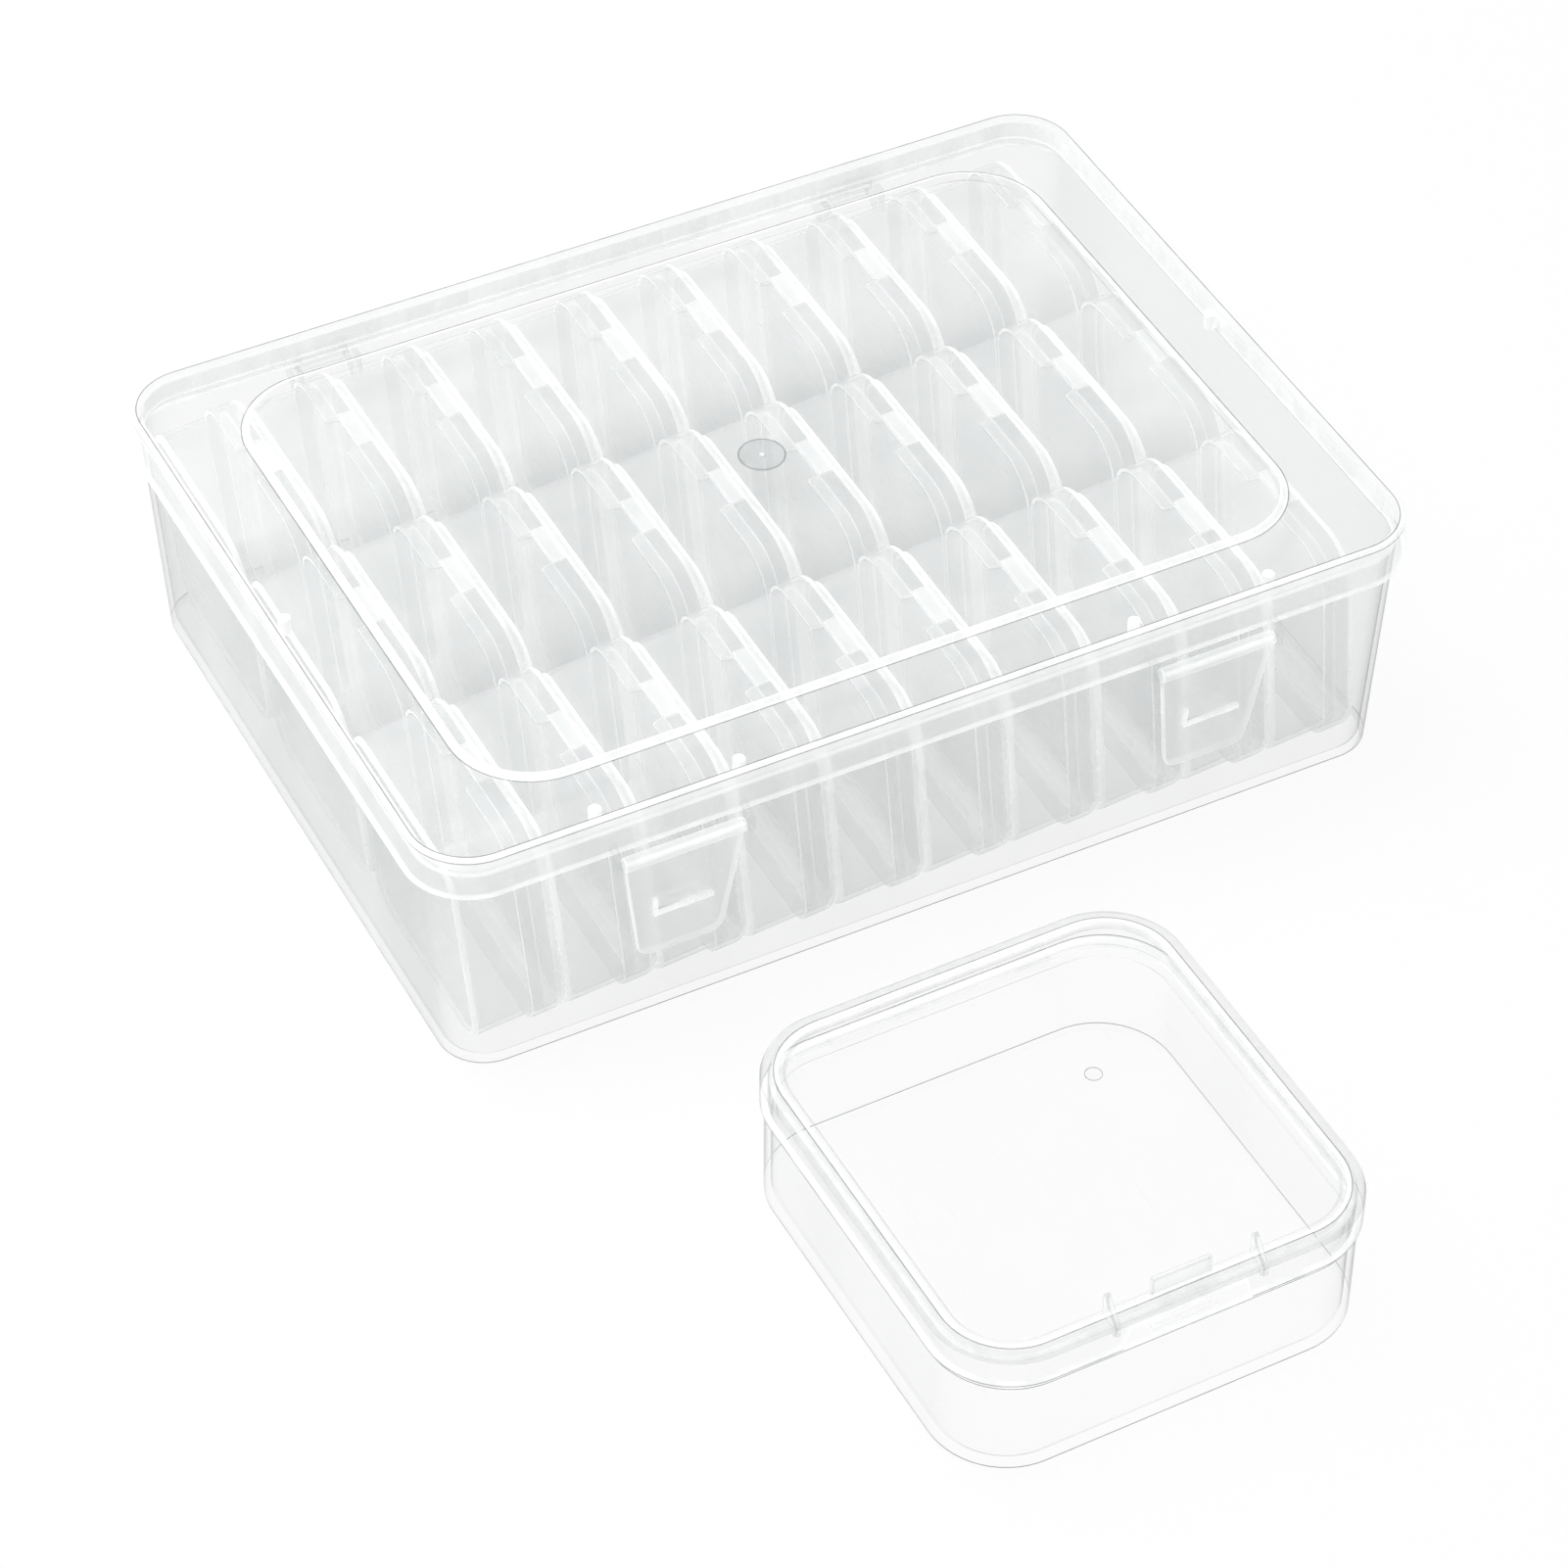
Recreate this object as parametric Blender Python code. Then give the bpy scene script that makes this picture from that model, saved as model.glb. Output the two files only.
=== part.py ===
"""A clear bead storage case with thirty small boxes on edge inside, and a larger box of that kind in front.

Metres, +Z up. The origin is the middle of the case's underside, and the latches face -Y.
"""

from math import atan2, cos, pi, sin, tau

import bmesh
import bpy
from mathutils import Matrix, Vector

GAP = 0.0003

# The case, without its raised panel
CASE_LENGTH = 0.2290
CASE_WIDTH = 0.1678
CASE_HEIGHT = 0.0623
CASE_CORNER = 0.0140
END_DRAFT = 0.0046
SIDE_DRAFT = 0.0030
FOOT_LENGTH = CASE_LENGTH - 2 * END_DRAFT
FOOT_WIDTH = CASE_WIDTH - 2 * SIDE_DRAFT
FOOT_CORNER = 0.0105
FOOT_BEVEL = 0.0010
CASE_WALL = 0.0011
CASE_FLOOR = 0.0018
RIM_DROP = 0.0056

# The case's lid
LID_WALL = 0.0012
LID_PLATE = 0.0014
LID_BEVEL = 0.0006
SKIRT_HEIGHT = 0.0099
SKIRT_FLARE = 0.0009
SEAT_WIDTH = 0.0010
PANEL_END = 0.0186
PANEL_SIDE = 0.0149
PANEL_LENGTH = CASE_LENGTH - 2 * PANEL_END
PANEL_WIDTH = CASE_WIDTH - 2 * PANEL_SIDE
PANEL_CORNER = 0.0180
PANEL_SLOPE = 0.0010
PANEL_RISE = 0.0010
DISC_RADIUS = 0.0052
DISC_DEPTH = 0.0003
DOT_RADIUS = 0.0007
PEG_RADIUS = 0.0014
PEG_LENGTH = 0.0032
PEG_INSET = 0.0044
PEG_SPREAD = 0.0160

# The two hinges at the back of the case
HINGE_END = 0.0495
HINGE_OUT = 0.0028
HINGE_DROP = 0.0022
BARREL_LENGTH = 0.0110
BARREL_RADIUS = 0.0018
PIN_RADIUS = 0.0008
EAR_WIDTH = 0.0022
EAR_ROOT = 0.0056
WEB_RISE = 0.0044
WEB_REACH_SHARE = 0.8
WEB_BACK_SHARE = 0.5

# The two latches at the front
LATCH_END = 0.0530
LATCH_TOP = 0.0270
LATCH_BOTTOM = 0.0190
LATCH_LENGTH = 0.0300
LATCH_THICKNESS = 0.0014
LATCH_CORNER = 0.0030
LATCH_OUT = 0.0022
LATCH_DROP = 0.0014
LATCH_BARREL = 0.0016
LATCH_PIN = 0.0007
LATCH_PIN_LENGTH = 0.0030
LATCH_EAR = 0.0014
LATCH_EAR_RISE = 0.0032
POCKET_WIDTH = 0.0136
POCKET_HEIGHT = 0.0075
POCKET_DEPTH = 0.0006
POCKET_START = 0.0112
LIP_HEIGHT = 0.0011
LIP_OUT = 0.0006
HOOK_START = 0.0186
HOOK_HEIGHT = 0.0016
HOOK_OUT = 0.0015
LUG_WIDTH = 0.0110
LUG_HEIGHT = 0.0040
LUG_FACE = 0.0010
LUG_OUT = 0.0010
LUG_SPACE = 0.0008
LATCH_WALL_SPACE = 0.0021

# The thirty small boxes, which stand on edge: depth runs along Y
COLUMNS = 10
LIDDED_COLUMNS = 8
ROWS = 3
END_SPACE = 0.0086
FIRST_SPACE = 0.0046
SIDE_SPACE = 0.00045
ROWS_BACK = 0.0003
CELL_PITCH = (FOOT_LENGTH - 2 * CASE_WALL - END_SPACE) / COLUMNS
ROW_PITCH = (FOOT_WIDTH - 2 * CASE_WALL - 2 * SIDE_SPACE) / ROWS
COLUMN_GAP = 0.00045
ROW_GAP = 0.0006
HEADROOM = 0.0039
CELL_DEPTH = ROW_PITCH - ROW_GAP
CELL_SIDE = CASE_HEIGHT - LID_PLATE - CASE_FLOOR - HEADROOM
CELL_THICKNESS = CELL_PITCH - COLUMN_GAP
CELL_SKIRT = 0.0076
CELL_LAP = 0.0032
CELL_CORNER = 0.0098
CELL_WALL = 0.0009
CELL_LID_WALL = 0.0008
CELL_PLATE = 0.0010
CELL_BEVEL = 0.0007
CELL_LID_BEVEL = 0.0013
CELL_NOTCH = 0.0124
CELL_NOTCH_DEPTH = 0.0027
CELL_CATCH_WIDTH = 0.0112
CELL_CATCH_OUT = 0.0003

# The larger box in front, which lies flat with its latch towards -Y
LARGE_X = -0.0233
LARGE_SPACE = 0.0404
LARGE_TURN = 0.0144
LARGE_WIDTH = 0.0938
LARGE_DEPTH = 0.0984
LARGE_HEIGHT = 0.0338
LARGE_SKIRT = 0.0079
LARGE_LAP = 0.0055
LARGE_CORNER = 0.0175
LARGE_WALL = 0.0014
LARGE_LID_WALL = 0.0016
LARGE_PLATE = 0.0015
LARGE_BEVEL = 0.0010
LARGE_LID_BEVEL = 0.0012
LARGE_BODY_INSET = 0.0009
LARGE_NECK = 0.0015
LARGE_NOTCH = 0.0310
LARGE_NOTCH_DEPTH = 0.0050
LARGE_PANEL_INSET = 0.0045
LARGE_PANEL_SINK = 0.0007
FIN_WIDTH = 0.0014
FIN_RISE = 0.0056
FIN_OUT = 0.0008
FIN_DROP = 0.0030
FIN_TOP_SHARE = 0.25
TONGUE_WIDTH = 0.0132
TONGUE_RISE = 0.0045
TONGUE_THICKNESS = 0.0012
TONGUE_CORNER = 0.0008
LIP_WIDTH = 0.0140
LIP_DEPTH = 0.0009
LIP_THICKNESS = 0.0012
LEDGE_WIDTH = 0.0500
LEDGE_DROP = 0.0006
MARK_RADIUS = 0.0019
MARK_X = 0.0290
MARK_Y = 0.0340
MARK_DEPTH = 0.0004

CORNER_STEPS = 3
LARGE_STEPS = 8
ROUND_SIDES = 20
SHARP_ANGLE = pi / 6

PLASTICS = {
    "case_plastic": ((0.90, 0.93, 0.92, 1.0), 0.12),
    "latch_plastic": ((0.88, 0.91, 0.91, 1.0), 0.16),
    "cell_plastic": ((0.86, 0.90, 0.89, 1.0), 0.20),
    "large_plastic": ((0.89, 0.92, 0.92, 1.0), 0.14),
}


def clear_scene():
    for obj in list(bpy.data.objects):
        bpy.data.objects.remove(obj, do_unlink=True)


def make_materials():
    for name, (colour, roughness) in PLASTICS.items():
        material = bpy.data.materials.new(name)
        material.use_nodes = True
        shader = material.node_tree.nodes["Principled BSDF"]
        shader.inputs["Base Color"].default_value = colour
        shader.inputs["Roughness"].default_value = roughness


def make_object(name, mesh_data, material):
    mesh = bpy.data.meshes.new(name)
    bmesh.ops.recalc_face_normals(mesh_data, faces=mesh_data.faces)
    mesh_data.to_mesh(mesh)
    mesh_data.free()
    mesh.materials.append(bpy.data.materials[material])
    obj = bpy.data.objects.new(name, mesh)
    bpy.context.scene.collection.objects.link(obj)
    return obj


def outline(length, width, corner, steps):
    """The points of a rounded rectangle about the origin, anticlockwise from +X."""
    points = []
    for quarter in range(4):
        turn = quarter * pi / 2
        middle = Vector((length / 2 - corner, width / 2 - corner))
        if quarter in (1, 2):
            middle.x = -middle.x
        if quarter in (2, 3):
            middle.y = -middle.y
        for step in range(steps + 1):
            angle = turn + step * pi / 2 / steps
            points.append(middle + corner * Vector((cos(angle), sin(angle))))
    return points


def stack(rings, steps=CORNER_STEPS):
    """A closed shape through rounded rectangles, each given as length, width, corner and height."""
    shape = bmesh.new()
    loops = []
    for length, width, corner, height in rings:
        points = outline(length, width, corner, steps)
        loops.append([shape.verts.new((p.x, p.y, height)) for p in points])
    for low, high in zip(loops, loops[1:]):
        for i in range(len(low)):
            j = (i + 1) % len(low)
            shape.faces.new((low[i], low[j], high[j], high[i]))
    shape.faces.new(loops[0])
    shape.faces.new(loops[-1])
    return shape


def shrink(ring, inset, height):
    """A ring that lies inside another by an inset all round, at another height."""
    length, width, corner = ring[:3]
    return (length - 2 * inset, width - 2 * inset, corner - inset, height)


def block(low, high):
    """A box between two opposite corners."""
    shape = bmesh.new()
    low, high = Vector(low), Vector(high)
    size = high - low
    place = Matrix.Translation((low + high) / 2) @ Matrix.Diagonal((*size, 1))
    bmesh.ops.create_cube(shape, size=1, matrix=place)
    return shape


def rod(radius, length, middle, axis="X"):
    """A cylinder about a point, along X or Z."""
    shape = bmesh.new()
    turn = Matrix.Rotation(pi / 2, 4, "Y") if axis == "X" else Matrix.Identity(4)
    bmesh.ops.create_cone(
        shape,
        cap_ends=True,
        segments=ROUND_SIDES,
        radius1=radius,
        radius2=radius,
        depth=length,
        matrix=Matrix.Translation(middle) @ turn,
    )
    return shape


def extruded(points, run):
    """A block that grows from one flat face, given by its points, along a vector."""
    shape = bmesh.new()
    face = shape.faces.new([shape.verts.new(point) for point in points])
    grown = bmesh.ops.extrude_face_region(shape, geom=[face])["geom"]
    moved = [item for item in grown if isinstance(item, bmesh.types.BMVert)]
    bmesh.ops.translate(shape, verts=moved, vec=run)
    return shape


def profile_block(points, middle, width):
    """A block along X whose section is given as points in Y and Z."""
    return extruded([(middle - width / 2, y, z) for y, z in points], (width, 0, 0))


def change(target, shape, operation):
    """Joins a shape to an object or cuts it out, through a hidden helper."""
    helper = make_object(f"{target.name}_{operation.lower()}", shape, target.data.materials[0].name)
    helper.hide_render = True
    helper.display_type = "WIRE"
    modifier = target.modifiers.new(helper.name, "BOOLEAN")
    modifier.operation = operation
    modifier.solver = "EXACT"
    modifier.object = helper


def join(target, shape):
    change(target, shape, "UNION")


def cut(target, shape):
    change(target, shape, "DIFFERENCE")


def settle(obj):
    """Turns the object's modifiers into its mesh, and drops their helpers."""
    graph = bpy.context.evaluated_depsgraph_get()
    mesh = bpy.data.meshes.new_from_object(obj.evaluated_get(graph))
    helpers = [modifier.object for modifier in obj.modifiers]
    obj.modifiers.clear()
    obj.data = mesh
    for helper in helpers:
        bpy.data.objects.remove(helper, do_unlink=True)
    return obj


def smooth(obj):
    for polygon in obj.data.polygons:
        polygon.use_smooth = True
    obj.data.set_sharp_from_angle(angle=SHARP_ANGLE)


def move_origin(obj, place):
    """Sets the object's origin on a joint axis without moving its shape."""
    obj.data.transform(place.inverted())
    obj.matrix_world = place


def rim_height():
    return CASE_HEIGHT - RIM_DROP


def wall_at(height):
    """Half the case's width at a height, measured to the outside of its wall."""
    foot, top = FOOT_WIDTH / 2, CASE_WIDTH / 2 - LID_WALL - GAP
    return foot + (top - foot) * height / rim_height()


def skirt_bottom():
    return CASE_HEIGHT - SKIRT_HEIGHT


def lug_level():
    """The height of a lug's lower face, just above the closed latch's hook."""
    return latch_axis(1).z - HOOK_START + LUG_SPACE


def hinge_middle(side):
    return side * (CASE_LENGTH / 2 - HINGE_END)


def latch_middle(side):
    return side * (CASE_LENGTH / 2 - LATCH_END)


def make_case_base():
    foot = (FOOT_LENGTH, FOOT_WIDTH, FOOT_CORNER, FOOT_BEVEL)
    rim = shrink((CASE_LENGTH, CASE_WIDTH, CASE_CORNER), LID_WALL + GAP, rim_height())
    inner_foot = shrink(foot, CASE_WALL, CASE_FLOOR + FOOT_BEVEL)
    rings = [
        shrink(foot, FOOT_BEVEL, 0),
        foot,
        rim,
        shrink(rim, CASE_WALL, rim_height()),
        inner_foot,
        shrink(inner_foot, FOOT_BEVEL, CASE_FLOOR),
    ]
    base = make_object("case_base", stack(rings, LARGE_STEPS), "case_plastic")
    axis = hinge_axis()
    inside = wall_at(axis.z) - CASE_WALL / 2
    for side in (-1, 1):
        middle = hinge_middle(side)
        for end in (-1, 1):
            ear_x = middle + end * (BARREL_LENGTH / 2 + GAP + EAR_WIDTH / 2)
            join(base, profile_block(ear_points(axis, inside), ear_x, EAR_WIDTH))
        pin = Vector((middle, axis.y, axis.z))
        join(base, rod(PIN_RADIUS, BARREL_LENGTH + 2 * GAP + EAR_WIDTH, pin))
        join(base, profile_block(lug_points(), latch_middle(side), LUG_WIDTH))
    smooth(settle(base))


def lug_points():
    """The side view of a lug: a flat underside that the hook catches, and a slope above."""
    low = lug_level()
    wall = wall_at(low)
    return [
        (CASE_WALL / 2 - wall, low),
        (-wall - LUG_OUT, low),
        (-wall - LUG_OUT, low + LUG_FACE),
        (CASE_WALL / 2 - wall, low + LUG_HEIGHT),
    ]


def hinge_axis():
    return Vector((0, CASE_WIDTH / 2 + HINGE_OUT, skirt_bottom() - HINGE_DROP))


def ear_points(axis, inside):
    """The side view of a hinge ear: round about the pin, and wide where it meets the wall."""
    radius = BARREL_RADIUS
    points = [(inside, axis.z - EAR_ROOT)]
    for step in range(ROUND_SIDES // 2 + 1):
        angle = -pi / 2 + step * tau / ROUND_SIDES
        points.append((axis.y + radius * cos(angle), axis.z + radius * sin(angle)))
    points.append((inside, axis.z + radius))
    return points


def peg_places():
    """A peg at each side of each latch, and one in the middle of each end."""
    peg_x = CASE_LENGTH / 2 - PEG_INSET
    peg_y = CASE_WIDTH / 2 - PEG_INSET
    places = [(-peg_x, 0), (peg_x, 0)]
    for side in (-1, 1):
        for end in (-1, 1):
            places.append((latch_middle(side) + end * PEG_SPREAD, -peg_y))
    return places


def make_case_lid():
    under = CASE_HEIGHT - LID_PLATE
    outside = (CASE_LENGTH, CASE_WIDTH, CASE_CORNER, CASE_HEIGHT - LID_BEVEL)
    panel = (PANEL_LENGTH, PANEL_WIDTH, PANEL_CORNER, CASE_HEIGHT)
    seat = LID_WALL + GAP + SEAT_WIDTH
    seat_height = rim_height() + GAP
    hem = skirt_bottom()
    hem_ring = shrink(outside, -SKIRT_FLARE, hem)
    rings = [
        shrink(panel, 2 * PANEL_SLOPE, under + PANEL_RISE),
        shrink(panel, PANEL_SLOPE, under),
        shrink(outside, seat, under),
        shrink(outside, seat, seat_height),
        shrink(outside, LID_WALL, seat_height),
        shrink(hem_ring, LID_WALL, hem),
        hem_ring,
        outside,
        shrink(outside, LID_BEVEL, CASE_HEIGHT),
        panel,
        shrink(panel, PANEL_SLOPE, CASE_HEIGHT + PANEL_RISE),
    ]
    lid = make_object("case_lid", stack(rings, LARGE_STEPS), "case_plastic")
    top = CASE_HEIGHT + PANEL_RISE
    cut(lid, rod(DISC_RADIUS, 2 * DISC_DEPTH, Vector((0, 0, top)), "Z"))
    join(lid, rod(DOT_RADIUS, 2 * DISC_DEPTH, Vector((0, 0, top - DISC_DEPTH)), "Z"))
    peg_low, peg_high = under - PEG_LENGTH, under + LID_PLATE / 2
    for x, y in peg_places():
        middle = Vector((x, y, (peg_low + peg_high) / 2))
        join(lid, rod(PEG_RADIUS, peg_high - peg_low, middle, "Z"))
    axis = hinge_axis()
    skirt = CASE_WIDTH / 2 - LID_WALL / 2
    for side in (-1, 1):
        middle = hinge_middle(side)
        web = profile_block(
            [
                (skirt, hem + GAP),
                (axis.y - BARREL_RADIUS * WEB_BACK_SHARE, axis.z + PIN_RADIUS),
                (axis.y + BARREL_RADIUS * WEB_REACH_SHARE, axis.z + PIN_RADIUS),
                (skirt, hem + WEB_RISE),
            ],
            middle,
            BARREL_LENGTH,
        )
        join(lid, web)
        centre = Vector((middle, axis.y, axis.z))
        join(lid, rod(BARREL_RADIUS, BARREL_LENGTH, centre))
        cut(lid, rod(PIN_RADIUS + GAP, BARREL_LENGTH * 2, centre))
        add_latch_ears(lid, side)
    settle(lid)
    smooth(lid)
    move_origin(lid, Matrix.Translation(axis))


def latch_axis(side):
    y = -(CASE_WIDTH / 2 + SKIRT_FLARE + LATCH_OUT)
    return Vector((latch_middle(side), y, skirt_bottom() - LATCH_DROP))


def add_latch_ears(lid, side):
    """Two ears on the skirt, each with a short pin that the latch turns on."""
    axis = latch_axis(side)
    skirt = -(CASE_WIDTH / 2 - LID_WALL / 2)
    radius = LATCH_BARREL
    for end in (-1, 1):
        ear_x = axis.x + end * (LATCH_TOP / 2 + GAP + LATCH_EAR / 2)
        hem = skirt_bottom()
        ear = [
            (skirt, hem + LATCH_EAR_RISE),
            (axis.y - radius, hem + radius / 2),
            (axis.y - radius, axis.z - radius),
            (axis.y + radius, axis.z - radius),
            (axis.y + radius, hem + radius / 2),
            (skirt, hem + radius / 2),
        ]
        join(lid, profile_block(ear, ear_x, LATCH_EAR))
        length = LATCH_PIN_LENGTH + LATCH_EAR / 2
        pin_x = ear_x - end * length / 2
        join(lid, rod(LATCH_PIN, length, Vector((pin_x, axis.y, axis.z))))


def make_latch(name, side):
    """A latch is made hanging straight down from its axis, then leaned to follow the wall."""
    half = LATCH_THICKNESS / 2
    corners = [(-LATCH_TOP / 2, 0), (LATCH_TOP / 2, 0)]
    foot = -LATCH_LENGTH
    run = (LATCH_TOP - LATCH_BOTTOM) / 2 * LATCH_CORNER / LATCH_LENGTH
    for end in (1, -1):
        arc = []
        for step in range(CORNER_STEPS + 1):
            angle = step * pi / 2 / CORNER_STEPS
            x = LATCH_BOTTOM / 2 - LATCH_CORNER + LATCH_CORNER * cos(angle) + run * cos(angle)
            z = foot + LATCH_CORNER - LATCH_CORNER * sin(angle)
            arc.append((end * x, z))
        corners += arc if end == 1 else arc[::-1]
    plate = extruded([(x, -half, z) for x, z in corners], (0, LATCH_THICKNESS, 0))
    latch = make_object(name, plate, "latch_plastic")
    zero = Vector((0, 0, 0))
    join(latch, rod(LATCH_BARREL, LATCH_TOP, zero))
    pocket_foot = -POCKET_START - POCKET_HEIGHT
    pocket = block(
        (-POCKET_WIDTH / 2, -half - POCKET_DEPTH, pocket_foot),
        (POCKET_WIDTH / 2, -half + POCKET_DEPTH, -POCKET_START),
    )
    cut(latch, pocket)
    lip = block(
        (-POCKET_WIDTH / 2, -half - LIP_OUT, pocket_foot - LIP_HEIGHT),
        (POCKET_WIDTH / 2, 0, pocket_foot),
    )
    join(latch, lip)
    hook = block(
        (-LUG_WIDTH / 2, 0, -HOOK_START - HOOK_HEIGHT),
        (LUG_WIDTH / 2, half + HOOK_OUT, -HOOK_START),
    )
    join(latch, hook)
    for end in (-1, 1):
        bore_x = end * (LATCH_TOP / 2)
        bore = rod(LATCH_PIN + GAP, 2 * LATCH_PIN_LENGTH, Vector((bore_x, 0, 0)))
        cut(latch, bore)
    settle(latch)
    smooth(latch)
    axis = latch_axis(side)
    foot_y = -wall_at(axis.z - LATCH_LENGTH) - LATCH_WALL_SPACE - half
    lean = atan2(foot_y - axis.y, LATCH_LENGTH)
    latch.data.transform(Matrix.Rotation(lean, 4, "X"))
    latch.matrix_world = Matrix.Translation(axis)


def box_sizes(kind):
    """The sizes that the two kinds of box share, by name."""
    if kind == "cell":
        return {
            "width": CELL_DEPTH,
            "depth": CELL_SIDE,
            "height": CELL_THICKNESS,
            "skirt": CELL_SKIRT,
            "lap": CELL_LAP,
            "corner": CELL_CORNER,
            "wall": CELL_WALL,
            "lid_wall": CELL_LID_WALL,
            "plate": CELL_PLATE,
            "bevel": CELL_BEVEL,
            "lid_bevel": CELL_LID_BEVEL,
            "notch": CELL_NOTCH,
            "notch_depth": CELL_NOTCH_DEPTH,
            "steps": CORNER_STEPS,
        }
    return {
        "width": LARGE_WIDTH,
        "depth": LARGE_DEPTH,
        "height": LARGE_HEIGHT,
        "skirt": LARGE_SKIRT,
        "lap": LARGE_LAP,
        "corner": LARGE_CORNER,
        "wall": LARGE_WALL,
        "lid_wall": LARGE_LID_WALL,
        "plate": LARGE_PLATE,
        "bevel": LARGE_BEVEL,
        "lid_bevel": LARGE_LID_BEVEL,
        "notch": LARGE_NOTCH,
        "notch_depth": LARGE_NOTCH_DEPTH,
        "steps": LARGE_STEPS,
    }


def base_rings(size):
    """The open half of a box, up its outside and down its inside, flat on its floor."""
    outside = (size["width"], size["depth"], size["corner"])
    wall = shrink(outside, size["lid_wall"] + GAP, size["bevel"])
    rim = size["height"] - size["skirt"] + size["lap"]
    return [
        shrink(wall, size["bevel"], 0),
        wall,
        shrink(wall, 0, rim),
        shrink(wall, size["wall"], rim),
        shrink(wall, size["wall"], size["wall"]),
    ]


def lid_shape(size):
    """The lid in its closed place over the base, before its notch is cut."""
    outside = (size["width"], size["depth"], size["corner"])
    inside = size["lid_wall"]
    hem = size["height"] - size["skirt"]
    bevel = size["lid_bevel"]
    return stack(
        [
            shrink(outside, inside, size["height"] - size["plate"]),
            shrink(outside, inside, hem),
            shrink(outside, 0, hem),
            shrink(outside, 0, size["height"] - bevel),
            shrink(outside, bevel, size["height"]),
        ],
        size["steps"],
    )


def cut_notch(lid, size):
    """The opening for the thumb in the skirt's hem, towards -Y."""
    half = size["notch"] / 2
    front = -size["depth"] / 2
    wall = size["lid_wall"]
    hem = size["height"] - size["skirt"]
    low = (-half, front - wall, hem - wall)
    high = (half, front + wall + GAP / 2, hem + size["notch_depth"])
    cut(lid, block(low, high))


def cell_base(name, size):
    return make_object(name, stack(base_rings(size), size["steps"]), "cell_plastic")


def cell_catch(size):
    """The pad above the notch that the thumb pushes."""
    front = -size["depth"] / 2
    low = size["height"] - size["skirt"] + size["notch_depth"] + CELL_CATCH_OUT
    high = size["height"] - size["lid_bevel"] - CELL_CATCH_OUT
    return block(
        (-CELL_CATCH_WIDTH / 2, front - CELL_CATCH_OUT, low),
        (CELL_CATCH_WIDTH / 2, front + size["lid_wall"] / 2, high),
    )


def cell_lid(name, size):
    lid = make_object(name, lid_shape(size), "cell_plastic")
    cut_notch(lid, size)
    join(lid, cell_catch(size))
    return lid


def closed_box(name, size):
    """A base and its lid in one piece, held together by a bead at each side of the skirt."""
    box = cell_base(name, size)
    join(box, lid_shape(size))
    wall = size["lid_wall"]
    hem = size["height"] - size["skirt"]
    inner = size["width"] / 2 - wall - GAP - size["wall"] / 2
    outer = size["width"] / 2 - wall / 2
    bead = size["lap"] / 2
    for side in (-1, 1):
        low, high = sorted((side * inner, side * outer))
        join(box, block((low, -bead, hem + wall), (high, bead, hem + bead)))
    return box


def make_cells():
    """Each small box leans on its base's lower edge and its lid's skirt, as the skirt stands proud."""
    size = box_sizes("cell")
    meshes = {}
    for part, make in (("base", cell_base), ("lid", cell_lid), ("box", closed_box)):
        pattern = settle(make(part, size))
        smooth(pattern)
        meshes[part] = pattern.data
        bpy.data.objects.remove(pattern, do_unlink=True)
    inset = CELL_LID_WALL + GAP
    lean = atan2(inset, CELL_THICKNESS - CELL_SKIRT)
    stand = Matrix(((0, 0, 1, 0), (-1, 0, 0, 0), (0, -1, 0, 0), (0, 0, 0, 1)))
    lift = Matrix.Translation((0, 0, CELL_SIDE / 2 - inset))
    upright = Matrix.Rotation(-lean, 4, "Y") @ lift @ stand
    first_x = CASE_WALL + FIRST_SPACE - FOOT_LENGTH / 2
    for column in range(COLUMNS):
        x = first_x + column * CELL_PITCH
        parts = ("base", "lid") if column < LIDDED_COLUMNS else ("box",)
        for row in range(ROWS):
            y = ROWS_BACK + (row - (ROWS - 1) / 2) * ROW_PITCH
            place = Matrix.Translation((x, y, CASE_FLOOR + GAP))
            for part in parts:
                cell = bpy.data.objects.new(f"cell_r{row + 1}_c{column + 1:02d}_{part}", meshes[part])
                bpy.context.scene.collection.objects.link(cell)
                cell.matrix_world = place @ upright


def large_base_shape(size):
    """The base is nearly as wide as its lid, and narrows to a neck that the lid's skirt goes over."""
    outside = (LARGE_WIDTH, LARGE_DEPTH, LARGE_CORNER)
    body = shrink(outside, LARGE_BODY_INSET, LARGE_BEVEL)
    neck = shrink(outside, LARGE_LID_WALL + GAP, 0)
    shoulder = LARGE_HEIGHT - LARGE_SKIRT - LARGE_NECK
    rim = LARGE_HEIGHT - LARGE_SKIRT + LARGE_LAP
    step = LARGE_LID_WALL + GAP - LARGE_BODY_INSET
    return stack(
        [
            shrink(body, LARGE_BEVEL, 0),
            body,
            shrink(body, 0, shoulder),
            shrink(neck, 0, shoulder),
            shrink(neck, 0, rim),
            shrink(neck, LARGE_WALL, rim),
            shrink(neck, LARGE_WALL, shoulder - step),
            shrink(body, LARGE_WALL, shoulder - 2 * step),
            shrink(body, LARGE_WALL, LARGE_WALL),
        ],
        size["steps"],
    )


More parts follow.
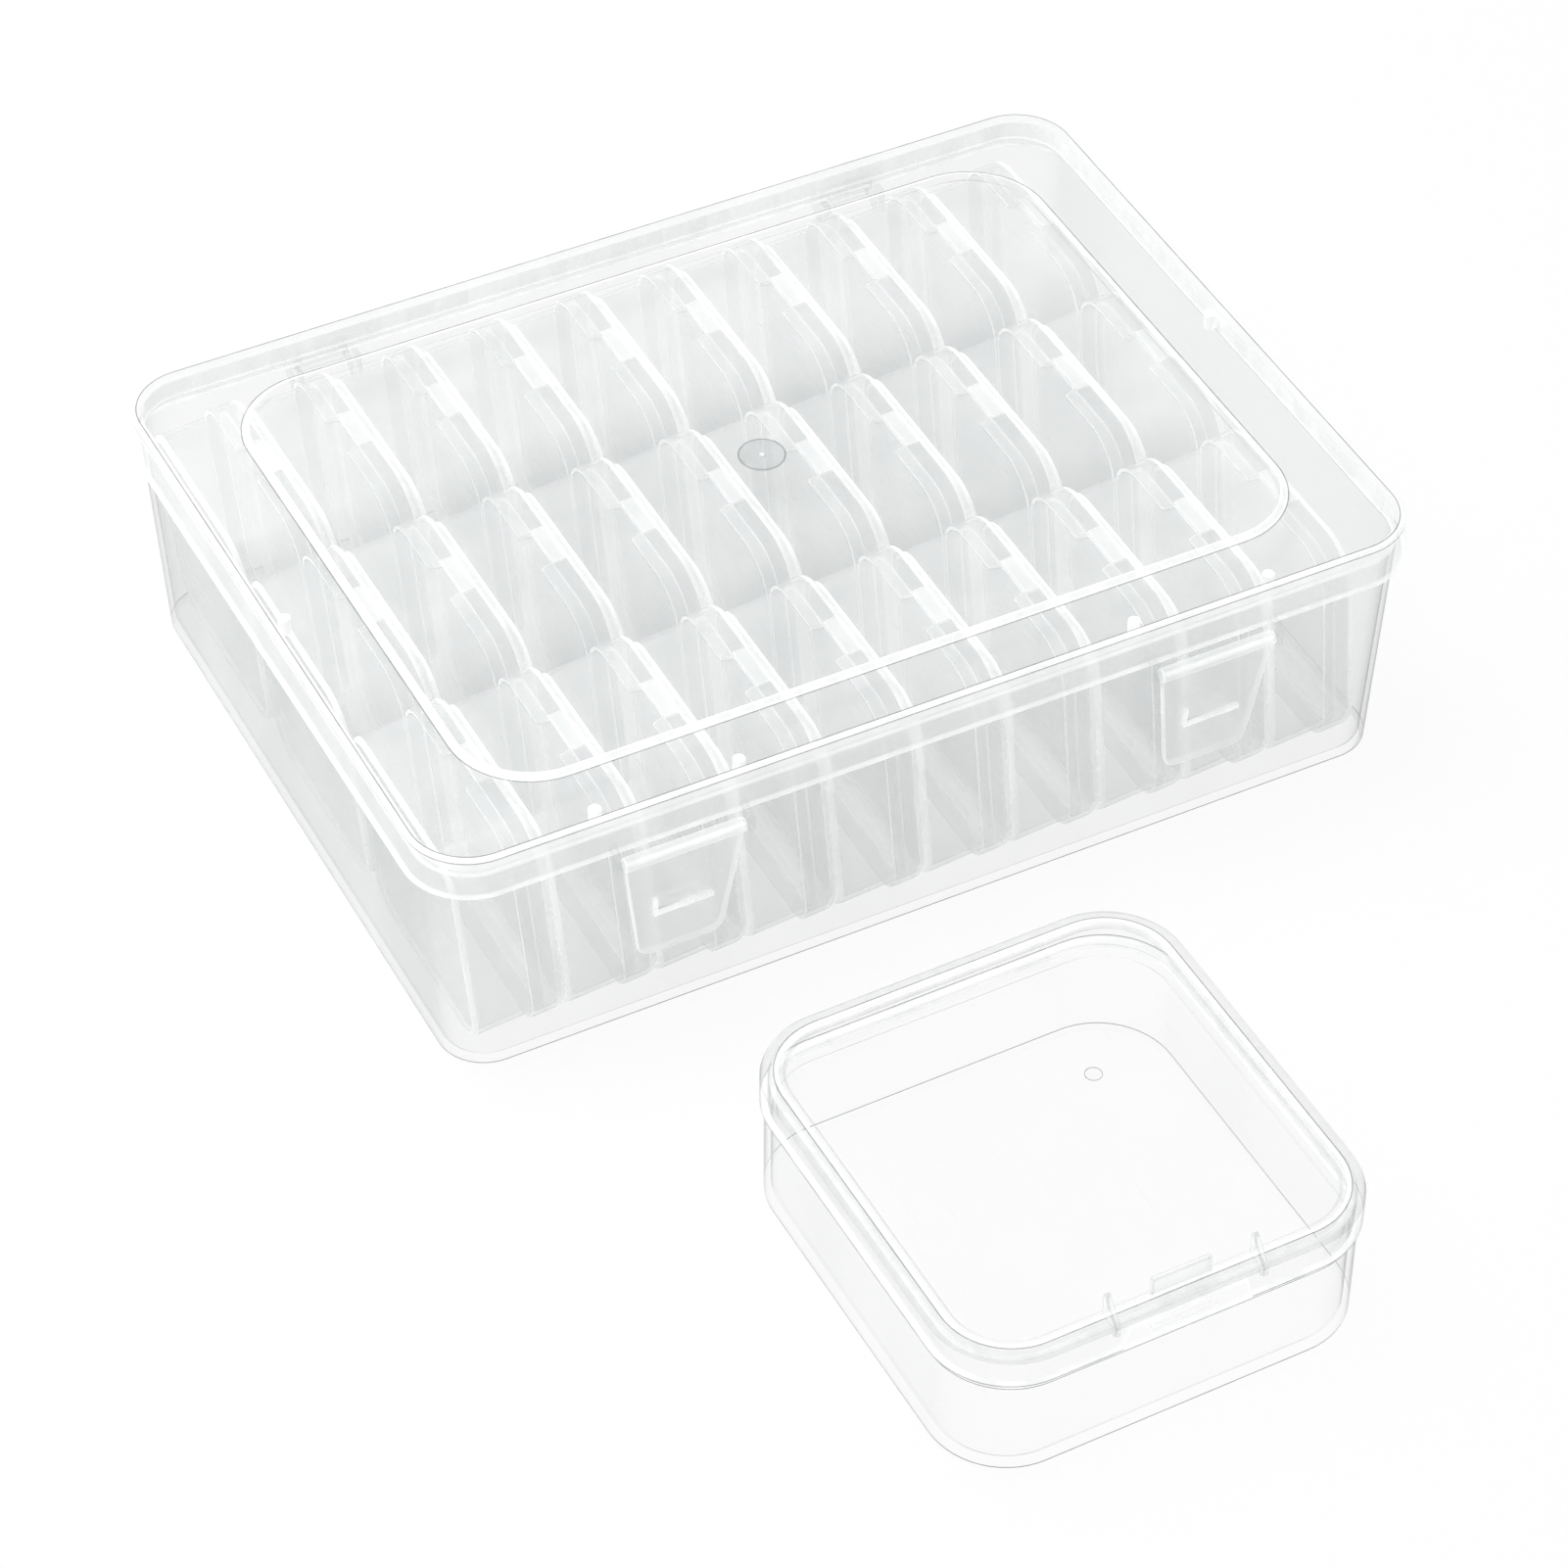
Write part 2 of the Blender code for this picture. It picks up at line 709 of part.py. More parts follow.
def make_large_base(size):
    base = make_object("large_base", large_base_shape(size), "large_plastic")
    hem = LARGE_HEIGHT - LARGE_SKIRT
    shoulder = hem - LARGE_NECK
    back = LARGE_DEPTH / 2
    neck = back - LARGE_LID_WALL - GAP
    ledge = block(
        (-LEDGE_WIDTH / 2, neck - LARGE_WALL / 2, shoulder - LEDGE_DROP),
        (LEDGE_WIDTH / 2, back, hem - GAP),
    )
    join(base, ledge)
    lip = profile_block(
        [
            (LARGE_WALL / 2 - neck, hem),
            (-neck - LIP_DEPTH, hem),
            (-neck - LIP_DEPTH, hem + LIP_THICKNESS),
            (LARGE_WALL / 2 - neck, hem + 2 * LIP_THICKNESS),
        ],
        0,
        LIP_WIDTH,
    )
    join(base, lip)
    cut(base, rod(MARK_RADIUS, 2 * MARK_DEPTH, Vector((MARK_X, MARK_Y, LARGE_WALL)), "Z"))
    return base


def fin_points():
    """The side view of a fin: steep at its back, rounded on top, then down over the lid's front edge."""
    front = -LARGE_DEPTH / 2
    inner = front + LARGE_PANEL_INSET
    root = LARGE_HEIGHT - LARGE_PLATE / 2
    foot = LARGE_HEIGHT - FIN_DROP
    crest = LARGE_HEIGHT + FIN_RISE
    top_run = LARGE_PANEL_INSET * FIN_TOP_SHARE
    return [
        (inner, root),
        (inner, crest - top_run / 2),
        (inner - top_run / 2, crest),
        (inner - top_run, crest - top_run / 4),
        (front - FIN_OUT, LARGE_HEIGHT),
        (front - FIN_OUT, foot + FIN_OUT),
        (front + LARGE_LID_WALL / 2, foot),
        (front + LARGE_LID_WALL / 2, root),
    ]


def tongue_shape():
    """The thumb tongue, an upright plate between the fins with its upper corners cut off."""
    inner = LARGE_PANEL_INSET - LARGE_DEPTH / 2
    half = TONGUE_WIDTH / 2
    root = LARGE_HEIGHT - LARGE_PLATE / 2
    crest = LARGE_HEIGHT + TONGUE_RISE
    points = [
        (-half, root),
        (half, root),
        (half, crest - TONGUE_CORNER),
        (half - TONGUE_CORNER, crest),
        (TONGUE_CORNER - half, crest),
        (-half, crest - TONGUE_CORNER),
    ]
    return extruded([(x, inner, z) for x, z in points], (0, -TONGUE_THICKNESS, 0))


def make_large_lid(size):
    lid = make_object("large_lid", lid_shape(size), "large_plastic")
    cut_notch(lid, size)
    border = shrink((LARGE_WIDTH, LARGE_DEPTH, LARGE_CORNER), LARGE_PANEL_INSET, LARGE_HEIGHT)
    sink = LARGE_PANEL_SINK
    well = [shrink(border, sink, LARGE_HEIGHT - sink), shrink(border, -sink, LARGE_HEIGHT + sink)]
    cut(lid, stack(well, LARGE_STEPS))
    for end in (-1, 1):
        join(lid, profile_block(fin_points(), end * (LARGE_NOTCH / 2 + FIN_WIDTH / 2), FIN_WIDTH))
    join(lid, tongue_shape())
    return lid


def make_large_box():
    size = box_sizes("large")
    large_y = -(CASE_WIDTH / 2 + LARGE_SPACE + LARGE_DEPTH / 2)
    place = Matrix.Translation((LARGE_X, large_y, 0)) @ Matrix.Rotation(LARGE_TURN, 4, "Z")
    base = make_large_base(size)
    lid = make_large_lid(size)
    for obj in (base, lid):
        settle(obj)
        smooth(obj)
    base.matrix_world = place
    hinge = Matrix.Translation((0, LARGE_DEPTH / 2, LARGE_HEIGHT - LARGE_SKIRT))
    lid.data.transform(hinge.inverted())
    lid.matrix_world = place @ hinge


clear_scene()
make_materials()
make_case_base()
make_case_lid()
make_latch("latch_left", -1)
make_latch("latch_right", 1)
make_cells()
make_large_box()
bpy.context.view_layer.update()
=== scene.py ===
# %% [markdown]
# # A clear bead storage case
# The case is a shallow tray with a lid, full of thirty small boxes that stand on edge, with a larger
# box of the same kind in front of it. Every piece is moulded in clear plastic, so the eye finds
# the shapes by their edges: a wall is nearly invisible, and its rims and corners shine.
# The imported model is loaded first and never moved. It gives the place of every piece, and this
# file gives each piece its fine shape and its plastic. All lengths are in metres.

from math import atan2, cos, pi, radians, sin

import bmesh
import bpy
from mathutils import Matrix, Vector


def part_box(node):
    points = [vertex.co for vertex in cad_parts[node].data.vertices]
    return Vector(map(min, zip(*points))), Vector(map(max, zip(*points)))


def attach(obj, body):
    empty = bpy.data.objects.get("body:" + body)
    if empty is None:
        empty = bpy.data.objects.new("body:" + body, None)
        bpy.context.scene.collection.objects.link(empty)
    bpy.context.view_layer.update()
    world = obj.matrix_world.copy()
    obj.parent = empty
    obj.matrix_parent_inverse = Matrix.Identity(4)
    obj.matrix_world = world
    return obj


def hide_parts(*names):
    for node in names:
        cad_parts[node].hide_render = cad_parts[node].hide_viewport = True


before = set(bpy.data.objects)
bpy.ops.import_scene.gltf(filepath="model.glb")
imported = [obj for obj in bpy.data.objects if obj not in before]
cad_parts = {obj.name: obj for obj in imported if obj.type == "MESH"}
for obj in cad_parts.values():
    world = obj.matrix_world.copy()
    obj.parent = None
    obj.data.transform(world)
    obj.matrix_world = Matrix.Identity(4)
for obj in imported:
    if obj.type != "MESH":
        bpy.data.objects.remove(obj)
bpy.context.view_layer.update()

# %% [markdown]
# The camera looks down on the case's front left corner with a long lens. A long lens keeps the
# case's sides nearly parallel, as the photograph has them. The camera is placed by the point
# that it looks at, its distance and its angles, because those are easy to change one by one.

# %% Camera
LOOK_AT = Vector((-0.0115, -0.0334, 0))
CAMERA_DISTANCE = 1.167
CAMERA_AZIMUTH = radians(27.363)
CAMERA_ELEVATION = radians(43.903)
CAMERA_ROLL = radians(0.367)
CAMERA_LENS = 124.42

camera_data = bpy.data.cameras.new("camera")
camera_data.lens = CAMERA_LENS
camera_data.sensor_width = 36
camera_data.clip_start = 0.05
camera = bpy.data.objects.new("camera", camera_data)
bpy.context.scene.collection.objects.link(camera)
camera_turn = (
    Matrix.Rotation(-CAMERA_AZIMUTH, 4, "Z")
    @ Matrix.Rotation(pi / 2 - CAMERA_ELEVATION, 4, "X")
    @ Matrix.Rotation(CAMERA_ROLL, 4, "Z")
)
camera_pull = Matrix.Translation((0, 0, CAMERA_DISTANCE))
camera.matrix_world = Matrix.Translation(LOOK_AT) @ camera_turn @ camera_pull
bpy.context.scene.camera = camera
print("camera at", [round(v, 4) for v in camera.matrix_world.translation])

# %% [markdown]
# Clear plastic hides nothing, so a ray passes dozens of thin walls before it reaches the floor.
# Cycles stops after eight see-through faces unless it is told to go on, and would then paint
# black patches.

# %% Light paths
SEE_THROUGH_FACES = 128
bpy.context.scene.cycles.transparent_max_bounces = SEE_THROUGH_FACES
bpy.context.scene.view_settings.view_transform = "Standard"

# %% [markdown]
# The floor is a plain white sheet. A photographer lights such a sheet from below until it is white,
# and here a part of its colour glows for the camera alone. The rest is a matt white that still
# takes the object's shadow.

# %% Floor
FLOOR_SIZE = 3
FLOOR_WHITE = 0.96
FLOOR_GLOW_SHARE = 0.9

floor_shape = bmesh.new()
bmesh.ops.create_grid(floor_shape, x_segments=1, y_segments=1, size=FLOOR_SIZE)
floor_mesh = bpy.data.meshes.new("floor")
floor_shape.to_mesh(floor_mesh)
floor_shape.free()
floor = bpy.data.objects.new("floor", floor_mesh)
bpy.context.scene.collection.objects.link(floor)

floor_material = bpy.data.materials.new("floor_sheet")
floor_material.use_nodes = True
nodes, links = floor_material.node_tree.nodes, floor_material.node_tree.links
nodes.clear()
out = nodes.new("ShaderNodeOutputMaterial")
matt = nodes.new("ShaderNodeBsdfDiffuse")
matt.inputs["Color"].default_value = (FLOOR_WHITE, FLOOR_WHITE, FLOOR_WHITE, 1)
glow = nodes.new("ShaderNodeEmission")
mix = nodes.new("ShaderNodeMixShader")
path = nodes.new("ShaderNodeLightPath")
share = nodes.new("ShaderNodeMath")
share.operation = "MULTIPLY"
share.inputs[1].default_value = FLOOR_GLOW_SHARE
links.new(path.outputs["Is Camera Ray"], share.inputs[0])
links.new(share.outputs[0], mix.inputs[0])
links.new(matt.outputs[0], mix.inputs[1])
links.new(glow.outputs[0], mix.inputs[2])
links.new(mix.outputs[0], out.inputs["Surface"])
floor_mesh.materials.append(floor_material)

# %% [markdown]
# The room is one soft white, dimmer for the light that it casts than for the eye. A camera ray, and
# a ray that gloss or glass sends on, sees full white, as it would in a white tent. One wide
# softbox above gives the pieces a gentle shadow side.

# %% World and lamp
ROOM_LIGHT = 0.55
LAMP_WATTS = 14
LAMP_SIZE = 1.2
LAMP_PLACE = Vector((-0.5, 0.3, 1.3))
LAMP_AIM = Vector((0, -0.05, 0))

world = bpy.data.worlds.new("white_tent")
bpy.context.scene.world = world
world.use_nodes = True
nodes, links = world.node_tree.nodes, world.node_tree.links
nodes.clear()
out = nodes.new("ShaderNodeOutputWorld")
room = nodes.new("ShaderNodeBackground")
room.inputs["Color"].default_value = (1, 1, 1, 1)
room.inputs["Strength"].default_value = ROOM_LIGHT
tent = nodes.new("ShaderNodeBackground")
tent.inputs["Color"].default_value = (1, 1, 1, 1)
tent.inputs["Strength"].default_value = 1
mix = nodes.new("ShaderNodeMixShader")
path = nodes.new("ShaderNodeLightPath")
glossy = nodes.new("ShaderNodeMath")
glossy.operation = "MAXIMUM"
through = nodes.new("ShaderNodeMath")
through.operation = "MAXIMUM"
links.new(path.outputs["Is Camera Ray"], glossy.inputs[0])
links.new(path.outputs["Is Glossy Ray"], glossy.inputs[1])
links.new(glossy.outputs[0], through.inputs[0])
links.new(path.outputs["Is Transmission Ray"], through.inputs[1])
links.new(through.outputs[0], mix.inputs[0])
links.new(room.outputs[0], mix.inputs[1])
links.new(tent.outputs[0], mix.inputs[2])
links.new(mix.outputs[0], out.inputs["Surface"])

lamp_data = bpy.data.lights.new("softbox", "AREA")
lamp_data.shape = "RECTANGLE"
lamp_data.size = LAMP_SIZE
lamp_data.size_y = LAMP_SIZE
lamp_data.energy = LAMP_WATTS
lamp = bpy.data.objects.new("softbox", lamp_data)
bpy.context.scene.collection.objects.link(lamp)
lamp.location = LAMP_PLACE
lamp.rotation_euler = (LAMP_AIM - LAMP_PLACE).to_track_quat("-Z", "Y").to_euler()

# %% [markdown]
# ## The plastics
# Moulded polystyrene is never quite even. As the hot plastic fills the mould it leaves slow waves of
# light and shade, which show as soft bands in a wall. A shader group makes those waves once, from
# stretched noise, and every plastic places it with its own scale. It puts out a shade for the
# colour and a height for the bump.

# %% Mould flow group
def group_with(name, numbers, outputs):
    """An empty shader group with a Vector input, named number inputs and number outputs."""
    group = bpy.data.node_groups.new(name, "ShaderNodeTree")
    group.interface.new_socket("Vector", in_out="INPUT", socket_type="NodeSocketVector")
    for label, value in numbers.items():
        socket = group.interface.new_socket(label, in_out="INPUT", socket_type="NodeSocketFloat")
        socket.default_value = value
    for label in outputs:
        group.interface.new_socket(label, in_out="OUTPUT", socket_type="NodeSocketFloat")
    return group, group.nodes.new("NodeGroupInput"), group.nodes.new("NodeGroupOutput")


def noise_node(nodes, detail, distortion):
    noise = nodes.new("ShaderNodeTexNoise")
    noise.inputs["Detail"].default_value = detail
    noise.inputs["Distortion"].default_value = distortion
    return noise


def spread(nodes, low, high):
    """Stretches a noise's middle values over 0 to 1."""
    span = nodes.new("ShaderNodeMapRange")
    span.interpolation_type = "SMOOTHSTEP"
    span.inputs["From Min"].default_value = low
    span.inputs["From Max"].default_value = high
    return span


flow, entry, exit_node = group_with("mould_flow", {"Scale": 40, "Stretch": 0.3}, ("Shade", "Height"))
stretch = flow.nodes.new("ShaderNodeVectorMath")
stretch.operation = "MULTIPLY"
ratio = flow.nodes.new("ShaderNodeCombineXYZ")
ratio.inputs["X"].default_value = 1
ratio.inputs["Y"].default_value = 1
waves = noise_node(flow.nodes, 2, 0.3)
ripple = noise_node(flow.nodes, 2, 0.2)
shade = spread(flow.nodes, 0.35, 0.65)
flow.links.new(entry.outputs["Stretch"], ratio.inputs["Z"])
flow.links.new(entry.outputs["Vector"], stretch.inputs[0])
flow.links.new(ratio.outputs[0], stretch.inputs[1])
flow.links.new(stretch.outputs[0], waves.inputs["Vector"])
flow.links.new(stretch.outputs[0], ripple.inputs["Vector"])
flow.links.new(entry.outputs["Scale"], waves.inputs["Scale"])
flow.links.new(entry.outputs["Scale"], ripple.inputs["Scale"])
flow.links.new(waves.outputs[0], shade.inputs["Value"])
flow.links.new(shade.outputs[0], exit_node.inputs["Shade"])
flow.links.new(ripple.outputs[0], exit_node.inputs["Height"])

# %% [markdown]
# Boxes that are opened and shut by hand carry fine dust and rub marks. They are a sparse mask of
# small specks and short streaks, which makes the plastic a touch hazier and rougher. The mask is
# a second group, because every plastic here has it in its own strength.

# %% Handling marks group
marks, entry, exit_node = group_with("handling_marks", {"Scale": 900, "Cover": 0.3}, ("Mask",))
specks = noise_node(marks.nodes, 3, 0)
streak_turn = marks.nodes.new("ShaderNodeMapping")
streak_turn.inputs["Rotation"].default_value = (0.5, 0.3, 0.8)
streak_turn.inputs["Scale"].default_value = (1, 0.06, 1)
streaks = noise_node(marks.nodes, 2, 0.1)
floor_level = marks.nodes.new("ShaderNodeMath")
floor_level.operation = "SUBTRACT"
floor_level.inputs[0].default_value = 0.85
speck_mask = spread(marks.nodes, 0.5, 0.8)
streak_mask = spread(marks.nodes, 0.6, 0.75)
both = marks.nodes.new("ShaderNodeMath")
both.operation = "MAXIMUM"
marks.links.new(entry.outputs["Vector"], specks.inputs["Vector"])
marks.links.new(entry.outputs["Scale"], specks.inputs["Scale"])
marks.links.new(entry.outputs["Vector"], streak_turn.inputs["Vector"])
marks.links.new(streak_turn.outputs[0], streaks.inputs["Vector"])
marks.links.new(entry.outputs["Scale"], streaks.inputs["Scale"])
marks.links.new(entry.outputs["Cover"], floor_level.inputs[1])
marks.links.new(floor_level.outputs[0], speck_mask.inputs["From Min"])
marks.links.new(specks.outputs[0], speck_mask.inputs["Value"])
marks.links.new(streaks.outputs[0], streak_mask.inputs["Value"])
marks.links.new(speck_mask.outputs[0], both.inputs[0])
marks.links.new(streak_mask.outputs[0], both.inputs[1])
marks.links.new(both.outputs[0], exit_node.inputs["Mask"])

# %% [markdown]
# A wall of clear plastic is seen in two ways. Face on, it lets nearly all light through and only
# dims it a little. At a glancing angle the same wall turns hazy, because the light runs a long way
# inside it. So the plastic's alpha comes from the angle: `face` looking straight at it, `edge`
# looking along it. Real transmission would spend a bounce on each face of each wall, and a view
# through the case crosses dozens of them, which is why alpha is used.
#
# Where a wall turns almost wholly away from the eye, clear plastic shows a thin dark rim. That rim is
# painted shade: past a set angle the colour is darkened towards a dark shade colour, and the alpha
# rises.

# %% Clear plastic
BUMP_DEPTH = 0.0001
BUMP_STRENGTH = 0.6
# The painted dark rim: where a wall turns away, its colour is painted towards this dark shade.
PAINTED_RIM_START = 0.78
PAINTED_RIM_END = 0.95
PAINTED_RIM_SHADE = (0.12, 0.13, 0.13)
PAINTED_RIM_ALPHA = 0.8


def clear_plastic(name, dark, light, face, edge, power, roughness, flow_scale, haze, painted_rim_strength=0):
    """One see-through plastic: two tints for its waves, its alpha face on and at the edge, and the
    strength of the painted shade that darkens its rim at glancing angles."""
    material = bpy.data.materials.new(name)
    material.use_nodes = True
    nodes, links = material.node_tree.nodes, material.node_tree.links
    shader = nodes["Principled BSDF"]
    place = nodes.new("ShaderNodeTexCoord")

    waves = nodes.new("ShaderNodeGroup")
    waves.node_tree = flow
    waves.inputs["Scale"].default_value = flow_scale
    links.new(place.outputs["Object"], waves.inputs["Vector"])
    tint = nodes.new("ShaderNodeMix")
    tint.data_type = "RGBA"
    tint.inputs["A"].default_value = (*dark, 1)
    tint.inputs["B"].default_value = (*light, 1)
    links.new(waves.outputs["Shade"], tint.inputs["Factor"])
    bump = nodes.new("ShaderNodeBump")
    bump.inputs["Distance"].default_value = BUMP_DEPTH
    bump.inputs["Strength"].default_value = BUMP_STRENGTH
    links.new(waves.outputs["Height"], bump.inputs["Height"])
    links.new(bump.outputs[0], shader.inputs["Normal"])

    rubs = nodes.new("ShaderNodeGroup")
    rubs.node_tree = marks
    links.new(place.outputs["Object"], rubs.inputs["Vector"])
    rough = nodes.new("ShaderNodeMapRange")
    rough.inputs["To Min"].default_value = roughness
    rough.inputs["To Max"].default_value = 2 * roughness
    links.new(rubs.outputs["Mask"], rough.inputs["Value"])
    links.new(rough.outputs[0], shader.inputs["Roughness"])

    facing = nodes.new("ShaderNodeLayerWeight")
    steep = nodes.new("ShaderNodeMath")
    steep.operation = "POWER"
    steep.inputs[1].default_value = power
    alpha = nodes.new("ShaderNodeMapRange")
    alpha.inputs["To Min"].default_value = face
    alpha.inputs["To Max"].default_value = edge
    dusty = nodes.new("ShaderNodeMath")
    dusty.operation = "MULTIPLY_ADD"
    dusty.inputs[1].default_value = haze
    links.new(facing.outputs["Facing"], steep.inputs[0])
    links.new(steep.outputs[0], alpha.inputs["Value"])
    links.new(rubs.outputs["Mask"], dusty.inputs[0])
    links.new(alpha.outputs[0], dusty.inputs[2])
    # Painted shade: past the set angle the colour is darkened towards the painted rim shade.
    painted_rim_mask = nodes.new("ShaderNodeMapRange")
    painted_rim_mask.interpolation_type = "SMOOTHSTEP"
    painted_rim_mask.inputs["From Min"].default_value = PAINTED_RIM_START
    painted_rim_mask.inputs["From Max"].default_value = PAINTED_RIM_END
    painted_rim_mask.inputs["To Max"].default_value = painted_rim_strength
    rim_shaded_tint = nodes.new("ShaderNodeMix")
    rim_shaded_tint.data_type = "RGBA"
    rim_shaded_tint.inputs["B"].default_value = (*PAINTED_RIM_SHADE, 1)
    solid = nodes.new("ShaderNodeMix")
    solid.inputs["B"].default_value = PAINTED_RIM_ALPHA
    links.new(facing.outputs["Facing"], painted_rim_mask.inputs["Value"])
    links.new(painted_rim_mask.outputs[0], rim_shaded_tint.inputs["Factor"])
    links.new(tint.outputs["Result"], rim_shaded_tint.inputs["A"])
    links.new(rim_shaded_tint.outputs["Result"], shader.inputs["Base Color"])
    links.new(painted_rim_mask.outputs[0], solid.inputs["Factor"])
    links.new(dusty.outputs[0], solid.inputs["A"])
    links.new(solid.outputs["Result"], shader.inputs["Alpha"])
    print("plastic", name)
    return material


GREY_DARK = (0.38, 0.41, 0.41)
GREY_LIGHT = (0.56, 0.59, 0.59)
CLOUDY_DARK = (0.80, 0.815, 0.815)
CLOUDY_LIGHT = (0.88, 0.89, 0.89)
plastics = {
    "case": clear_plastic("case_clear", GREY_DARK, GREY_LIGHT, 0.026, 0.50, 3.2, 0.10, 30, 0.015, 0.8),
    "latch": clear_plastic("latch_clear", CLOUDY_DARK, CLOUDY_LIGHT, 0.32, 0.70, 6, 0.14, 60, 0.02, 0.8),
    "cell": clear_plastic("cell_clear", CLOUDY_DARK, CLOUDY_LIGHT, 0.23, 0.55, 5, 0.18, 70, 0.01, 0.7),
    "large": clear_plastic("large_clear", GREY_DARK, GREY_LIGHT, 0.012, 0.40, 5, 0.12, 40, 0.012, 0.8),
}

# %% [markdown]
# Rims, hems and rounded edges bend the light of the white room towards the eye, so they read as thin
# white lines. Each edge is a real rounded band in the mesh, and the band takes this second plastic, a
# painted highlight: much whiter and nearly solid. Some edges have a dark line beside the white one,
# where the bent light comes from the shaded side. That line is painted shade, a third plastic on a
# narrow band of its own. The thumb catches are frosted, and the larger box's soft edges are grey, a
# painted shade where they roll over: a fourth and a fifth.
#
# The small boxes and the latches give off a faint even glow, a painted fill light that lifts them where
# the stack of walls shades them. The bright edges and the frosted parts glow more strongly, a painted
# highlight.

# %% Edge plastics
# The colours of the painted highlight, of the painted shade lines, of the frosted plastic, and of the
# grey that paints shade on rolled edges and colours the gate mark.
PAINTED_HIGHLIGHT_WHITES = ((0.90, 0.91, 0.91), (1.0, 1.0, 1.0))
PAINTED_SHADE_BLACKS = ((0.10, 0.11, 0.11), (0.24, 0.25, 0.25))
FROST_WHITES = ((0.84, 0.86, 0.86), (0.94, 0.95, 0.95))
SHADE_AND_MARK_GREYS = ((0.46, 0.48, 0.48), (0.60, 0.62, 0.62))
PAINTED_FILL_GLOW = 0.12
PAINTED_EDGE_GLOW = 0.22

edge_painted_highlight = clear_plastic("edge_painted_highlight", *PAINTED_HIGHLIGHT_WHITES, 0.70, 0.85, 2, 0.20, 200, 0.05)
edge_painted_shade = clear_plastic("edge_painted_shade", *PAINTED_SHADE_BLACKS, 0.60, 0.85, 2, 0.15, 200, 0.05)
frosted = clear_plastic("frosted_catch", *FROST_WHITES, 0.30, 0.60, 3, 0.30, 60, 0.02)
# A faint painted fill glow on the small boxes and the latches.
for kind in ("cell", "latch"):
    shader = plastics[kind].node_tree.nodes["Principled BSDF"]
    shader.inputs["Emission Color"].default_value = (1, 1, 1, 1)
    shader.inputs["Emission Strength"].default_value = PAINTED_FILL_GLOW
grey_shade_and_mark = clear_plastic("grey_shade_and_mark", *SHADE_AND_MARK_GREYS, 0.22, 0.50, 3, 0.30, 300, 0.05)
# A painted highlight glow on the bright edges and the frosted parts.
for glowing in (edge_painted_highlight, frosted):
    shader = glowing.node_tree.nodes["Principled BSDF"]
    shader.inputs["Emission Color"].default_value = (1, 1, 1, 1)
    shader.inputs["Emission Strength"].default_value = PAINTED_EDGE_GLOW

# Look numbers: clear plastic, painted highlight, painted shade, frosted plastic with a painted glow, and
# grey, which is painted shade on rolled edges and the gate mark's colour.
CLEAR, BRIGHT, DARK, FROSTED_GLOW, GREY = range(5)


def plastic_set(kind):
    """The plastics of one kind of piece, in the order of the look numbers."""
    return [plastics[kind], edge_painted_highlight, edge_painted_shade, frosted, grey_shade_and_mark]


# %% [markdown]
# ## Shaping tools
# Every box here is a stack of rounded rectangles, like the contour lines of a hill. One rounded
# rectangle is a single square face with its four corners bevelled. Bridging each rectangle with
# the next gives the walls, first up the outside and then down the inside, so the wall's
# thickness is real. Bridging needs to know which way round each loop runs, and two loops at one
# height don't tell it. So the loops are bridged well apart, one step each, and then lowered to
# their true heights. Each bridged band gets the number of its plastic.

# %% Rings and lofts
CORNER_SEGMENTS = 14
BRIDGE_STEP = 0.01


def ring(shape, length, width, corner, height):
    """A rounded rectangle as one face."""
    place = Matrix.Translation((0, 0, height)) @ Matrix.Diagonal((length, width, 1, 1))
    square = bmesh.ops.create_grid(shape, x_segments=1, y_segments=1, size=0.5, matrix=place)
    rounded = bmesh.ops.bevel(
        shape,
        geom=square["verts"],
        offset=corner,
        offset_type="OFFSET",
        segments=CORNER_SEGMENTS,
        profile=0.5,
        affect="VERTICES",
        material=-1,
    )
    return rounded["verts"][0].link_faces[0]


def loft(shape, rings, looks):
    """Bands through the rings, one look each; the first and the last ring stay as caps."""
    steps = [number * BRIDGE_STEP for number in range(len(rings))]
    faces = [ring(shape, *sizes[:3], step) for sizes, step in zip(rings, steps)]
    edges = [list(face.edges) for face in faces]
    corners = [list(face.verts) for face in faces]
    bmesh.ops.delete(shape, geom=faces[1:-1], context="FACES_ONLY")
    for low, high, look in zip(edges, edges[1:], looks):
        for band in bmesh.ops.bridge_loops(shape, edges=low + high)["faces"]:
            band.material_index = look
    for verts, sizes, step in zip(corners, rings, steps):
        bmesh.ops.translate(shape, verts=verts, vec=(0, 0, sizes[3] - step))
    bmesh.ops.recalc_face_normals(shape, faces=shape.faces)
    return edges


def shrink(sizes, inset, height):
    """The same rounded rectangle, smaller by an inset all round, at another height."""
    length, width, corner = sizes[:3]
    return (length - 2 * inset, width - 2 * inset, corner - inset, height)


def round_edges(shape, edges, radius, look, segments=2):
    bmesh.ops.bevel(
        shape,
        geom=edges,
        offset=radius,
        offset_type="OFFSET",
        segments=segments,
        profile=0.5,
        affect="EDGES",
        material=look,
    )


# %% [markdown]
# Ribs, catches and hooks are small bars. A bar is a cube stretched between two corners with all of
# its edges rounded, because a moulded edge is never sharp. Pins and pegs are short cylinders
# with rounded rims.

# %% Bars and pins
PIN_SEGMENTS = 28


def bar(shape, low, high, radius, look, edge_look=BRIGHT):
    low, high = Vector(low), Vector(high)
    place = Matrix.Translation((low + high) / 2) @ Matrix.Diagonal((*(high - low), 1))
    made = bmesh.ops.create_cube(shape, size=1, matrix=place)["verts"]
    for face in {face for vert in made for face in vert.link_faces}:
        face.material_index = look
    edges = list({edge for vert in made for edge in vert.link_edges})
    round_edges(shape, edges, radius, edge_look)


